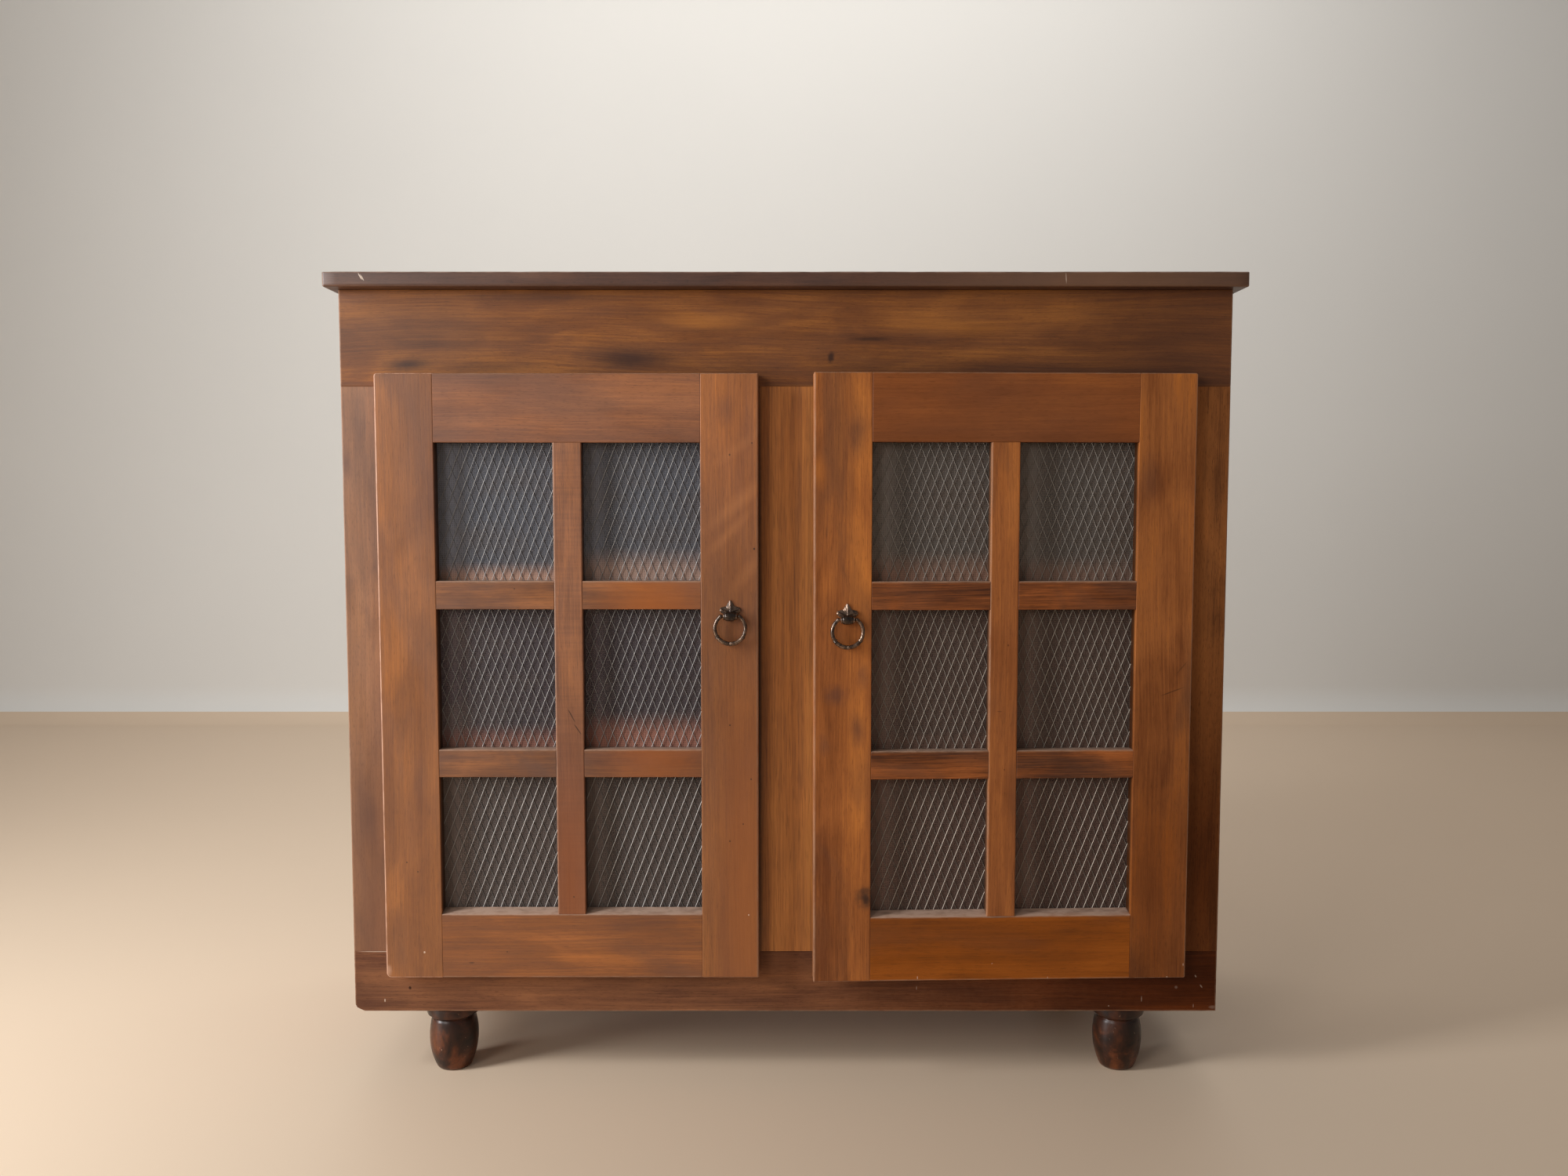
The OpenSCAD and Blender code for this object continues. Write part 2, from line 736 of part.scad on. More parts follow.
// The hinge stile has round notches for the knuckles and pins, and recesses for the leaves
module hinge_stile() {
    color(door_colour) difference() {
        door_stile(0);
        for (up = [lower_hinge_up, upper_hinge_up]) translate([axis_x, axis_y, up]) {
            translate([0, 0, -hinge_l / 2 - joint_play])
                cylinder(r = knuckle_r + knuckle_clear, h = hinge_l + 2 * joint_play);
            translate([0, 0, hinge_l / 2])
                cylinder(r = pin_head_r + knuckle_clear, h = pin_head_h + knuckle_clear);
            translate([0, door_t - axis_y - leaf_t, -hinge_l / 2 - joint_play])
                cube([leaf_w + joint_play, leaf_t + over, hinge_l + 2 * joint_play]);
            for (off = [-screw_off, screw_off])
                translate([screw_in, door_t - axis_y, off]) rotate([90, 0, 0])
                    cylinder(r = screw_r + screw_play, h = screw_l + screw_play);
        }
    }
}

// The lock stile is drilled for the handle's stud
module lock_stile(handle_in, handle_up) {
    color(door_colour) difference() {
        door_stile(door_w - door_stile_w);
        translate([door_w - handle_in, -over, handle_up]) rotate([-90, 0, 0])
            cylinder(r = stud_r + joint_play, h = door_t + 2 * over);
    }
}

module door_top_rail() {
    z = door_h - door_top_h;
    color(door_colour) difference() {
        intersection() {
            door_blank();
            union() {
                translate([door_stile_w, 0, z]) cube([open_w, door_t, door_top_h]);
                rail_tenons(z, door_top_h, 0);
            }
        }
        panel_rebate();
        muntin_stubs(joint_play);
    }
}

module door_bottom_rail() {
    color(door_colour) difference() {
        intersection() {
            door_blank();
            union() {
                translate([door_stile_w, 0, 0]) rotate([90, 0, 90]) linear_extrude(open_w)
                    polygon([[0, 0], [door_t, 0], [door_t, door_bottom_h],
                        [mesh_depth, sill_back_z], [0, door_bottom_h]]);
                rail_tenons(0, door_bottom_h, 0);
            }
        }
        panel_rebate();
        muntin_stubs(joint_play);
    }
}

// The muntin runs from rail to rail, and its foot is cut to the sill's slope
module muntin() {
    top = door_h - door_top_h;
    color(door_colour) difference() {
        union() {
            translate([(door_w - bar_w) / 2, 0, 0]) rotate([90, 0, 90]) linear_extrude(bar_w)
                polygon([[0, door_bottom_h], [mesh_depth, sill_back_z], [mesh_depth, top], [0, top]]);
            muntin_stubs(0);
        }
        bar_stubs(joint_play);
    }
}

// Four cross bars, each between a stile and the muntin, with their front edges beveled
module cross_bars() {
    length = (open_w - bar_w) / 2;
    ease = case_ease;
    color(door_colour) {
        for (x = [door_stile_w, door_stile_w + length + bar_w])
            for (up = [lower_bar_up, upper_bar_up])
                translate([x, 0, up - bar_w / 2]) rotate([90, 0, 90]) linear_extrude(length)
                    polygon([[ease, 0], [mesh_depth, 0], [mesh_depth, bar_w], [ease, bar_w],
                        [0, bar_w - ease], [0, ease]]);
        bar_stubs(0);
    }
}

// One layer of parallel wires that lean to the right as they rise, clipped to the sheet
module wire_layer() {
    lean = diamond_w / diamond_h;
    tilt = atan(lean);
    shift = sheet_h * lean;
    for (k = [-floor(shift / diamond_w) : floor(sheet_w / diamond_w)]) {
        foot = (k + 0.5) * diamond_w;
        low = max(0, -foot / lean);
        high = min(sheet_h, (sheet_w - foot) / lean);
        if (high - low > diamond_h) translate([foot + low * lean, 0, low]) rotate([0, tilt, 0])
            translate([-wire_w / 2, 0, 0]) cube([wire_w, wire_t, (high - low) / cos(tilt)]);
    }
}

module rising_layer(y) translate([sheet_x, y, sheet_z]) wire_layer();
module falling_layer(y) translate([sheet_x + sheet_w, y, sheet_z]) mirror([1, 0, 0]) wire_layer();

module fly_screen() {
    color(screen_colour) translate([sheet_x, screen_y, sheet_z]) cube([sheet_w, screen_t, sheet_h]);
}

// A bead of this length along +X, lying on the screen with its chamfer towards +Z
module bead(length) {
    width = mesh_lap - mesh_play;
    rotate([90, 0, 90]) linear_extrude(length) polygon([
        [0, 0], [bead_t, 0], [bead_t, width - bead_chamfer], [bead_t - bead_chamfer, width], [0, width]
    ]);
}

module beads() {
    width = mesh_lap - mesh_play;
    side_l = sheet_h - 2 * (width + joint_play);
    color(door_colour) translate([sheet_x, screen_y + screen_t, sheet_z]) {
        bead(sheet_w);
        translate([sheet_w, 0, sheet_h]) rotate([0, 180, 0]) bead(sheet_w);
        translate([0, 0, sheet_h - width - joint_play]) rotate([0, 90, 0]) bead(side_l);
        translate([sheet_w, 0, width + joint_play]) rotate([0, -90, 0]) bead(side_l);
    }
}

// The leaf let into the door's back, cut away round the frame's knuckles
module door_leaf() {
    back = door_t - axis_y;
    difference() {
        union() {
            translate([0, back - leaf_t, -hinge_l / 2]) cube([leaf_w, leaf_t, hinge_l]);
            for (i = [1 : 2 : knuckle_count - 1]) translate([0, 0, knuckle_z(i)])
                cylinder(r = knuckle_r, h = knuckle_l);
        }
        for (i = [0 : 2 : knuckle_count - 1])
            translate([-over, -knuckle_r, knuckle_z(i) - knuckle_gap])
                cube([knuckle_r + knuckle_clear + over, 2 * knuckle_r + over,
                    knuckle_l + 2 * knuckle_gap]);
        knuckle_bores();
        translate([0, back, 0]) mirror([0, 1, 0]) leaf_holes();
    }
}

module hinge_leaves() {
    color(steel_colour) for (up = [lower_hinge_up, upper_hinge_up])
        translate([axis_x, axis_y, up]) door_leaf();
}

module hinge_screws() {
    color(steel_colour) for (up = [lower_hinge_up, upper_hinge_up], off = [-screw_off, screw_off])
        translate([axis_x + screw_in, door_t, up + off]) mirror([0, 1, 0]) hinge_screw();
}

// A shape drawn as seen from the front, at the handle's pivot, and thickened out of the door
module pressed_plate(thick) rotate([90, 0, 0]) linear_extrude(thick) children();

// Half the width of the leaf's hollow-sided point, from its root (t = 0) to its tip (t = 1)
function leaf_half(t) = boss_half_w * pow(1 - t, 1.7);

// The rosette: a pointed leaf with two side lobes, a keel, and the boss that holds the ring
module rosette(handle_in, handle_up) {
    root = lobe_up - 1;
    steps = 10;
    side = [for (i = [0 : steps]) [leaf_half(i / steps), root + (leaf_tip - root) * i / steps]];
    boss_arc = (boss_half_w * boss_half_w) / (2 * (boss_r - boss_end_r)) + (boss_r - boss_end_r) / 2;
    color(iron_colour) translate([door_w - handle_in, 0, handle_up]) difference() {
        union() {
            pressed_plate(leaf_plate_t) union() {
                circle(boss_r + 1);
                polygon(concat(side, [for (i = [steps - 1 : -1 : 0]) [-side[i][0], side[i][1]]]));
                for (s = [-1, 1]) {
                    translate([s * lobe_out, lobe_up]) circle(lobe_r);
                    translate([s * lobe_out / 2, lobe_up / 2]) circle(boss_half_w / 2);
                }
            }
            for (s = [-1, 1]) translate([s * lobe_out, 0, lobe_up]) rotate([90, 0, 0])
                cylinder(r1 = lobe_r * 0.75, r2 = lobe_r * 0.4, h = leaf_plate_t + 1);
            translate([0, -leaf_plate_t, 0]) cylinder(r1 = 2, r2 = 0.4, h = leaf_tip - 1);
            translate([0, -ring_stand, 0]) rotate([0, 90, 0]) rotate_extrude() intersection() {
                translate([boss_r - boss_arc, 0]) circle(boss_arc, $fn = 200);
                translate([0, -boss_half_w]) square([boss_r, 2 * boss_half_w]);
            }
            rotate([-90, 0, 0]) cylinder(r = stud_r, h = door_t + nut_t + stud_past);
        }
        for (s = [-1, 1]) translate([s * (boss_half_w + over), -ring_stand, 0]) rotate([0, -90 * s, 0])
            cylinder(r = ring_pin_r + ring_pin_play, h = ring_pin_l + over + boss_gap);
    }
}

module handle_nut(handle_in, handle_up) {
    color(iron_colour) translate([door_w - handle_in, door_t, handle_up]) rotate([-90, 0, 0])
        difference() {
            cylinder(r = nut_w / 2 / cos(30), h = nut_t, $fn = 6);
            translate([0, 0, -over]) cylinder(r = stud_r + screw_play, h = nut_t + 2 * over);
        }
}

// The strike plate faces the catch when the door is closed
module catch_strike() {
    x = door_w - lap_side - catch_w;
    color(steel_colour) translate([x + joint_play, door_t, catch_up - catch_l / 2])
        cube([catch_w - 2 * joint_play, strike_t, catch_l]);
}

// A stretch of the ring, centred on this angle from its lowest point
module ring_stretch(at, span, wire) {
    rotate([90, 0, 0]) rotate([0, 0, at - 90 - span / 2]) rotate_extrude(angle = span)
        translate([ring_r, 0]) circle(wire);
}

// An open ring that hangs from the boss by two short pins
module ring(handle_in, handle_up) {
    color(iron_colour) translate([door_w - handle_in, -ring_stand, handle_up]) {
        translate([0, 0, -ring_drop]) {
            ring_stretch(0, 360 - 2 * ring_end_angle, ring_wire_r);
            ring_stretch(0, 2 * ring_collar_at, ring_low_r);
            for (at = [-ring_collar_at, 0, ring_collar_at])
                ring_stretch(at, ring_collar_span, ring_collar_r);
        }
        for (s = [-1, 1]) translate([s * ring_end_x, 0, 0]) {
            sphere(ring_ball_r);
            rotate([0, -90 * s, 0])
                cylinder(r = ring_pin_r, h = ring_ball_r + boss_gap + ring_pin_l);
        }
    }
}

module left_hinge_stile() left_hung() hinge_stile();
module left_lock_stile() left_hung() lock_stile(left_handle_in, left_handle_up);
module left_door_top_rail() left_hung() door_top_rail();
module left_door_bottom_rail() left_hung() door_bottom_rail();
module left_muntin() left_hung() muntin();
module left_cross_bars() left_hung() cross_bars();
module left_rising_wires() color(wire_colour) left_hung() rising_layer(mesh_depth);
module left_falling_wires() color(wire_colour) left_hung() falling_layer(mesh_depth + wire_t);
module left_fly_screen() left_hung() fly_screen();
module left_beads() left_hung() beads();
module left_hinge_leaves() left_hung() hinge_leaves();
module left_hinge_screws() left_hung() hinge_screws();
module left_rosette() left_hung() rosette(left_handle_in, left_handle_up);
module left_handle_nut() left_hung() handle_nut(left_handle_in, left_handle_up);
module left_catch_strike() left_hung() catch_strike();
module left_ring() left_hung() ring(left_handle_in, left_handle_up);

// The right door mirrors the left, so its rising wires are the falling layer of its own frame
module right_hinge_stile() right_hung() hinge_stile();
module right_lock_stile() right_hung() lock_stile(right_handle_in, right_handle_up);
module right_door_top_rail() right_hung() door_top_rail();
module right_door_bottom_rail() right_hung() door_bottom_rail();
module right_muntin() right_hung() muntin();
module right_cross_bars() right_hung() cross_bars();
module right_rising_wires() color(wire_colour) right_hung() falling_layer(mesh_depth);
module right_falling_wires() color(wire_colour) right_hung() rising_layer(mesh_depth + wire_t);
module right_fly_screen() right_hung() fly_screen();
module right_beads() right_hung() beads();
module right_hinge_leaves() right_hung() hinge_leaves();
module right_hinge_screws() right_hung() hinge_screws();
module right_rosette() right_hung() rosette(right_handle_in, right_handle_up);
module right_handle_nut() right_hung() handle_nut(right_handle_in, right_handle_up);
module right_catch_strike() right_hung() catch_strike();
module right_ring() right_hung() ring(right_handle_in, right_handle_up);

top_board();
left_side_panel();
right_side_panel();
bottom_board();
back_boards();
back_top_rail();
back_bottom_rail();
frieze_rail();
base_rail();
left_outer_stile();
right_outer_stile();
centre_stile();
upper_shelf();
lower_shelf();
shelf_battens();
top_battens();
foot_bearers();
front_left_foot();
front_right_foot();
rear_left_foot();
rear_right_foot();
frame_hinge_leaves();
hinge_pins();
frame_hinge_screws();
catch_magnets();
left_hinge_stile();
left_lock_stile();
left_door_top_rail();
left_door_bottom_rail();
left_muntin();
left_cross_bars();
left_rising_wires();
left_falling_wires();
left_fly_screen();
left_beads();
left_hinge_leaves();
left_hinge_screws();
left_rosette();
left_handle_nut();
left_catch_strike();
left_ring();
right_hinge_stile();
right_lock_stile();
right_door_top_rail();
right_door_bottom_rail();
right_muntin();
right_cross_bars();
right_rising_wires();
right_falling_wires();
right_fly_screen();
right_beads();
right_hinge_leaves();
right_hinge_screws();
right_rosette();
right_handle_nut();
right_catch_strike();
right_ring();
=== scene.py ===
import json
import math
import random
from types import SimpleNamespace

import bmesh
import bpy
from mathutils import Matrix, Vector, noise


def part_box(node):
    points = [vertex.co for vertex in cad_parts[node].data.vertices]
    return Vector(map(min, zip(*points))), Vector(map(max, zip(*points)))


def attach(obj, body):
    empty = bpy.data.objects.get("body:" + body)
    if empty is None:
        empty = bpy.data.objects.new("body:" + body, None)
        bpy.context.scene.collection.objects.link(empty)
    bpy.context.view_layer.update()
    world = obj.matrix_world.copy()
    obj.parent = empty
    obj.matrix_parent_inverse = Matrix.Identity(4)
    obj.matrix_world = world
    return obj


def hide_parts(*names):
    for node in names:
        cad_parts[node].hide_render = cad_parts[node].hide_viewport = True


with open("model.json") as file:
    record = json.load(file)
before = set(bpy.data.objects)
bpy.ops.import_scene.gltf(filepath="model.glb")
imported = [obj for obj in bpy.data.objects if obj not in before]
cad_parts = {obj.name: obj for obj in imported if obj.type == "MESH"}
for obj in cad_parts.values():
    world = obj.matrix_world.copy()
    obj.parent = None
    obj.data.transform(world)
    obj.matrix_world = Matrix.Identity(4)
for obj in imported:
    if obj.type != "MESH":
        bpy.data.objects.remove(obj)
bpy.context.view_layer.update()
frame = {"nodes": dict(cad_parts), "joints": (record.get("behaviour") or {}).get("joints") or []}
NODES = frame["nodes"]
JOINTS = {j["name"]: j for j in frame["joints"]}
MM = Matrix.Scale(0.001, 4)


def mm(node):
    """A CAD node's box in millimetres."""
    lo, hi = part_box(node)
    return lo * 1000, hi * 1000


# Meshes are drawn in millimetres, with the CAD's sizes. A door has a frame of its own: X runs inwards from its
# hinged edge, Y back from its face and Z up from its lower edge
DOOR_W, DOOR_H, DOOR_T = 468.0, 753.0, 22.0
STILE, TOP_H, BOTTOM_H, SILL_BACK = 71.0, 84.0, 81.0, 85.0
BAR, BAR_T, BARS = 35.0, 17.5, (272.5116, 482.016)
REBATE_LAP, SHEET_LAP = 8.0, 7.2
REBATE = ((STILE - REBATE_LAP, BAR_T, BOTTOM_H - REBATE_LAP),
          (DOOR_W - STILE + REBATE_LAP, DOOR_T + 3, DOOR_H - TOP_H + REBATE_LAP))
SHEET_X, SHEET_Z = STILE - SHEET_LAP, BOTTOM_H - SHEET_LAP
SHEET_W, SHEET_H = DOOR_W - 2 * SHEET_X, DOOR_H - TOP_H + SHEET_LAP - SHEET_Z
DIAMOND_W, DIAMOND_H = 11.2, 28.5
GAUZE_FRONT, GAUZE_BACK = 19.32, 19.72
HINGES, HINGE_W, HINGE_H, HINGE_T, PLAY = (121.0, 631.0), 19.0, 50.0, 1.2, 0.15
PIN, PIN_X, PIN_HEAD_R, PIN_HEAD_H, KNUCKLE_R = (-1.5, 19.2), 503.0, 2.9, 1.5, 3.5
AJAR = math.radians(1.8)
CASE_HALF, CASE_D, CASE_TOP = 550.0, 400.0, 994.0
FRAME_T, SIDE_T = 22.0, 18.0
BACK_T, BACK_LAP, BACK_TONGUE, BACK_GAP, BACK_COUNT = 9.0, 9.0, 4.3, 0.6, 6
JOINT = 0.4
FACE, UNDER = mm("frieze_rail")[0].y, mm("base_rail")[0].z

DOOR_LO = mm("left_hinge_stile")[0]
PIN_R = Vector(JOINTS["right_door_hinge"]["pos_m"]) * 1000
DOORS = {
    "left": Matrix.Translation(DOOR_LO),
    "right": (Matrix.Translation((PIN_R.x, PIN_R.y, DOOR_LO.z)) @ Matrix.Rotation(AJAR, 4, "Z")
              @ Matrix.Scale(-1, 4, (1, 0, 0)) @ Matrix.Translation((-PIN[0], -PIN[1], 0))),
}


# Materials. Colours are given as sRGB, from 0 to 255, marks on the front in millimetres and other places in metres
def srgb(r, g, b):
    return tuple(((c / 255 + 0.055) / 1.055) ** 2.4 if c > 10 else c / 3294.6 for c in (r, g, b))


def dim(colour, share):
    return tuple(c * share for c in colour)


class Tree:
    """A material's node tree, with short calls for the nodes used here."""

    def __init__(self, name):
        self.mat = bpy.data.materials.new(name)
        self.mat.use_nodes = True
        self.tree = self.mat.node_tree
        self.tree.nodes.clear()

    def node(self, kind, inputs=None, **props):
        n = self.tree.nodes.new("ShaderNode" + kind)
        for key, value in props.items():
            setattr(n, key, value)
        for key, value in (inputs or {}).items():
            if isinstance(value, bpy.types.NodeSocket):
                self.tree.links.new(value, n.inputs[key])
            elif n.inputs[key].type == "RGBA" and len(value) == 3:
                n.inputs[key].default_value = (*value, 1)
            else:
                n.inputs[key].default_value = value
        return n

    def place(self):
        return self.node("TexCoord").outputs["Object"]

    def parts(self, vector):
        return self.node("SeparateXYZ", {0: vector}).outputs

    def math(self, op, a, b=0.0, c=0.0):
        return self.node("Math", {0: a, 1: b, 2: c}, operation=op).outputs[0]

    def times(self, a, b, plus=None):
        return self.math("MULTIPLY", a, b) if plus is None else self.math("MULTIPLY_ADD", a, b, plus)

    def vector(self, op, a, b=(0, 0, 0)):
        return self.node("VectorMath", {0: a, 1: b}, operation=op).outputs[0]

    def turn(self, at, angle):
        """Turns a place about the Y axis, so that what is drawn there leans."""
        return self.node("VectorRotate", {"Vector": at, "Angle": angle}, rotation_type="Y_AXIS").outputs[0]

    def attribute(self, name, output="Fac"):
        return self.node("Attribute", attribute_name=name).outputs[output]

    def noise(self, at, scales, detail=2.0, rough=0.5, twist=0.0):
        """Noise with its scales on the three axes, or on the first one and across it."""
        at = self.vector("MULTIPLY", at, (*scales, scales[-1])[:3])
        return self.node("TexNoise", {"Vector": at, "Scale": 1.0, "Detail": detail,
                                      "Roughness": rough, "Distortion": twist}).outputs[0]

    def step(self, value, low, high, to_low=0.0, to_high=1.0):
        """Maps value from low..high to to_low..to_high, smoothly and within those limits."""
        return self.node("MapRange", {"Value": value, "From Min": low, "From Max": high,
                                      "To Min": to_low, "To Max": to_high},
                         interpolation_type="SMOOTHSTEP").outputs[0]

    def band(self, value, rise, fall, top=1.0):
        """Comes up over the first span of value and falls from top to nothing over the second."""
        return self.times(self.step(value, *rise), self.step(value, *fall, top, 0))

    def ramp(self, value, stops):
        n = self.node("ValToRGB", {"Fac": value})
        while len(n.color_ramp.elements) < len(stops):
            n.color_ramp.elements.new(0.5)
        for element, (at, colour) in zip(n.color_ramp.elements, stops):
            element.position, element.color = at, (*colour, 1)
        return n.outputs[0]

    def mix(self, share, a, b, blend="MIX"):
        return self.node("Mix", {0: share, 6: a, 7: b}, data_type="RGBA", blend_type=blend).outputs[2]

    def bump(self, height, distance, strength, below=None):
        inputs = {"Height": height, "Distance": distance, "Strength": strength}
        if below is not None:
            inputs["Normal"] = below
        return self.node("Bump", inputs).outputs[0]

    def surface(self, **inputs):
        shader = self.node("BsdfPrincipled", {k.replace("_", " "): v for k, v in inputs.items()})
        self.node("OutputMaterial", {"Surface": shader.outputs[0]})
        return self.mat


def mark_layer(t, colour, marks, front, blend="MIX"):
    """Lays marks over a colour. With MULTIPLY a mark's tint is three factors."""
    if not marks:
        return colour
    here = t.place()
    shake = t.noise(here, (130, 130))
    for x, z, w, h, tilt, tint, strength, soft in marks:
        at = t.vector("SUBTRACT", here, (x / 1000, 0, z / 1000))
        if tilt:
            at = t.turn(at, math.radians(tilt))
        at = t.vector("MULTIPLY", at, (1000 / w, 0, 1000 / h))
        far = t.node("VectorMath", {0: at}, operation="LENGTH").outputs["Value"]
        wobble = 0.7 if max(w, h) < 30 else 0.14
        far = t.times(shake, wobble, t.math("SUBTRACT", far, wobble / 2))
        share = t.times(t.step(far, 1 - soft, 1, strength, 0), front)
        colour = t.mix(share, colour, srgb(*tint) if blend == "MIX" else tint, blend)
    return colour


# What a wood looks like unless its tones or its own values say otherwise. The pairs are noise scales, along the
# grain and across it: blot for the stain's blotches, figure for broad bands, ticks for pores
PLAIN = dict(figure=(1.1, 15.0), bend=0.02, streak=0.28, ripple=0.0, glow=0.55, contrast=0.5, blot=(3.0, 9.0),
             blotch=0.5, ticks=(95, 1150), pores=0.5, worn=(161.7, 123.6, 97.2), wear=0.6, vary=0.0, depth=0.0,
             dust=0.0, rough=0.42, coat=0.06, spec=0.5)
FIBRE = 0.2
DUST = (188, 156, 136)


def wood(name, tones, marks=(), painted_light=(), **changes):
    """Stained, varnished wood. Grain runs along the first axis of the grain attribute."""
    w = SimpleNamespace(**{**PLAIN, **tones, **changes})
    light, mid, dark, stain, worn = (srgb(*c) for c in (w.light, w.mid, w.dark, w.stain, w.worn))
    t = Tree(name)
    grain, front, edge = t.attribute("grain", "Vector"), t.attribute("front"), t.attribute("wear")

    # Figure: broad bands, lines and hairs along the grain, and paler patches
    sway = t.times(t.math("SUBTRACT", t.noise(grain, (1.7, 5)), 0.5), w.bend)
    bent = t.vector("ADD", grain, t.node("CombineXYZ", {"Y": sway}).outputs[0])
    broad = t.noise(bent, w.figure, 3, 0.55, 0.3)
    lines = t.noise(bent, (8, 400), 3, 0.62)
    hair = t.noise(bent, (34, 1150), 2, 0.6)
    tone = t.times(lines, w.streak, t.times(broad, 1 - w.streak - FIBRE))
    tone = t.times(hair, FIBRE, tone)
    if w.ripple:
        rippled = t.noise(grain, (330, 9), 2, 0.6)
        tone = t.times(t.math("SUBTRACT", rippled, 0.5), w.ripple, tone)
    pale = t.noise(t.vector("ADD", grain, (3.1, 7.7, 0)), (6.5, 19), 3, 0.5, 0.8)
    tone = t.times(t.math("SUBTRACT", pale, 0.5), w.glow, tone)
    colour = t.ramp(tone, [(0.5 - 0.1 / w.contrast, dark), (0.5, mid), (0.5 + 0.1 / w.contrast, light)])

    # Stain, pores, painted light and shade, marks and the tone of each board
    cloud = t.noise(grain, w.blot, 4, 0.55, 0.8)
    colour = t.mix(t.step(cloud, 0.46, 0.68, 0, w.blotch), colour, stain)
    tick = t.noise(bent, w.ticks, 1)
    colour = t.mix(t.step(tick, 0.585, 0.70, 0, w.pores), colour, dim(dark, 0.42))
    colour = mark_layer(t, colour, painted_light, front, "MULTIPLY")
    colour = mark_layer(t, colour, marks, front)
    if w.vary:
        shade = t.times(t.attribute("tone"), w.vary, 1.0)
        grey = t.node("CombineColor", {0: shade, 1: shade, 2: shade}).outputs[0]
        colour = t.mix(1.0, colour, grey, "MULTIPLY")

    # Painted shade on a door's inner faces deep in its recesses, worn edges and dust on what faces up
    if w.depth:
        colour = t.mix(t.step(t.attribute("recess_shade"), 0.04, 0.5, 0, w.depth), colour, dim(dark, 0.12))
    scuff = t.noise(grain, (40, 160), 3, 0.7)
    rub = t.times(edge, t.step(scuff, 0.30, 0.62, 0.25 * w.wear, w.wear))
    colour = t.mix(rub, colour, worn)
    if w.dust:
        up = t.parts(t.node("NewGeometry").outputs["Normal"])["Z"]
        lint = t.step(t.noise(grain, (60, 140), 3, 0.6), 0.3, 0.6, 0.55 * w.dust, w.dust)
        colour = t.mix(t.times(t.step(up, 0.55, 0.85), lint), colour, srgb(*DUST))

    gloss = t.times(edge, 0.15, t.noise(grain, (9, 26), 3, 0.6))
    height = t.times(hair, 0.45, t.times(lines, 0.55))
    normal = t.bump(t.noise(grain, (8, 20)), 0.0011, 0.5, t.bump(height, 0.00016, 0.7))
    return t.surface(Base_Color=colour, Roughness=t.step(gloss, 0.3, 0.7, w.rough - 0.06, w.rough + 0.12),
                     Normal=normal, Specular_IOR_Level=w.spec, Coat_Weight=w.coat, Coat_Roughness=0.3)


# Meshes
def turns(count):
    return [2 * math.pi * k / count for k in range(count)]


def skin(bm, rings, caps=(0, -1)):
    """Lays faces from each ring of vertices to the next, and over the rings that caps names."""
    for a, b in zip(rings, rings[1:]):
        for k in range(len(a)):
            j = (k + 1) % len(a)
            bm.faces.new((a[k], a[j], b[j], b[k]))
    for k in caps:
        bm.faces.new(rings[k])


def add(name, data):
    """A new object with its data, in the scene."""
    o = bpy.data.objects.new(name, data)
    bpy.context.scene.collection.objects.link(o)
    return o


def to_mesh(name, bm):
    mesh = bpy.data.meshes.new(name)
    bm.to_mesh(mesh)
    bm.free()
    return mesh


def face_out(bm):
    bmesh.ops.recalc_face_normals(bm, faces=bm.faces)
    return bm


def outline(points, radii, pitch):
    """A closed outline with rounded corners. Sides are split, with a point just beyond each corner."""
    corners = []
    for i, (at, r) in enumerate(zip(points, radii)):
        p = Vector(at)
        a = (Vector(points[i - 1]) - p).normalized()
        b = (Vector(points[(i + 1) % len(points)]) - p).normalized()
        c = p + (a + b) * r
        corners.append([c - b * r * math.cos(s) - a * r * math.sin(s)
                        for s in (0, math.pi / 6, math.pi / 3, math.pi / 2)] if r > 0 else [p])
    out = []
    for corner, following in zip(corners, corners[1:] + corners[:1]):
        out += corner
        start, end = corner[-1], following[0]
        length = (end - start).length
        if length > 4:
            unit = (end - start) / length
            count = max(1, round((length - 2) / pitch))
            out += [start + unit * (1 + (length - 2) * k / count) for k in range(count + 1)]
    return out


def prism(points, radii, axis, a0, a1, end=0.35, pitch=15.0, nick=0.5, seed=0):
    """A board: an outline drawn along an axis, with rounded ends, a little unevenness and worn corners."""
    wave, rim = 0.16, 3
    pts = outline(points, radii, pitch)
    lo = Vector((min(p.x for p in pts), min(p.y for p in pts)))
    hi = Vector((max(p.x for p in pts), max(p.y for p in pts)))

    def inset(p, by):
        return Vector((min(max(p.x, lo.x + by), hi.x - by), min(max(p.y, lo.y + by), hi.y - by)))

    bends = (math.pi / 2, math.pi / 3, math.pi / 6, 0) if end > 0.5 else (math.pi / 2, 0)
    head = [(end * (1 - math.sin(f)), end * (1 - math.cos(f))) for f in bends] + [(end + 1, 0)]
    run = a1 - a0 - 2 * end - 2
    count = max(1, round(run / pitch))
    middle = [(end + 1 + run * k / count, 0) for k in range(1, count)]
    stations = [(a0 + t, d) for t, d in head + middle] + [(a1 - t, d) for t, d in reversed(head)]
    bm = bmesh.new()
    rings = []
    shift = Vector((seed * 13.7, seed * 5.1, seed * 3.3))
    for t, by in stations:
        ring = []
        for p in pts:
            n = p - inset(p, rim)
            n = n.normalized() if n.length > 1e-6 else n
            where = Vector((t, p.x, p.y))
            push = wave * noise.noise(where / 95 + shift)
            if abs(n.x * n.y) > 0.05:
                push -= nick * max(0.0, noise.noise(where / 21 + shift) - 0.22)
            q = inset(p, by) + n * push
            ring.append(bm.verts.new({"x": (t, q.x, q.y), "y": (q.x, t, q.y), "z": (q.x, q.y, t)}[axis]))
        rings.append(ring)
    skin(bm, rings)
    bmesh.ops.remove_doubles(bm, verts=bm.verts, dist=0.002)
    return face_out(bm)


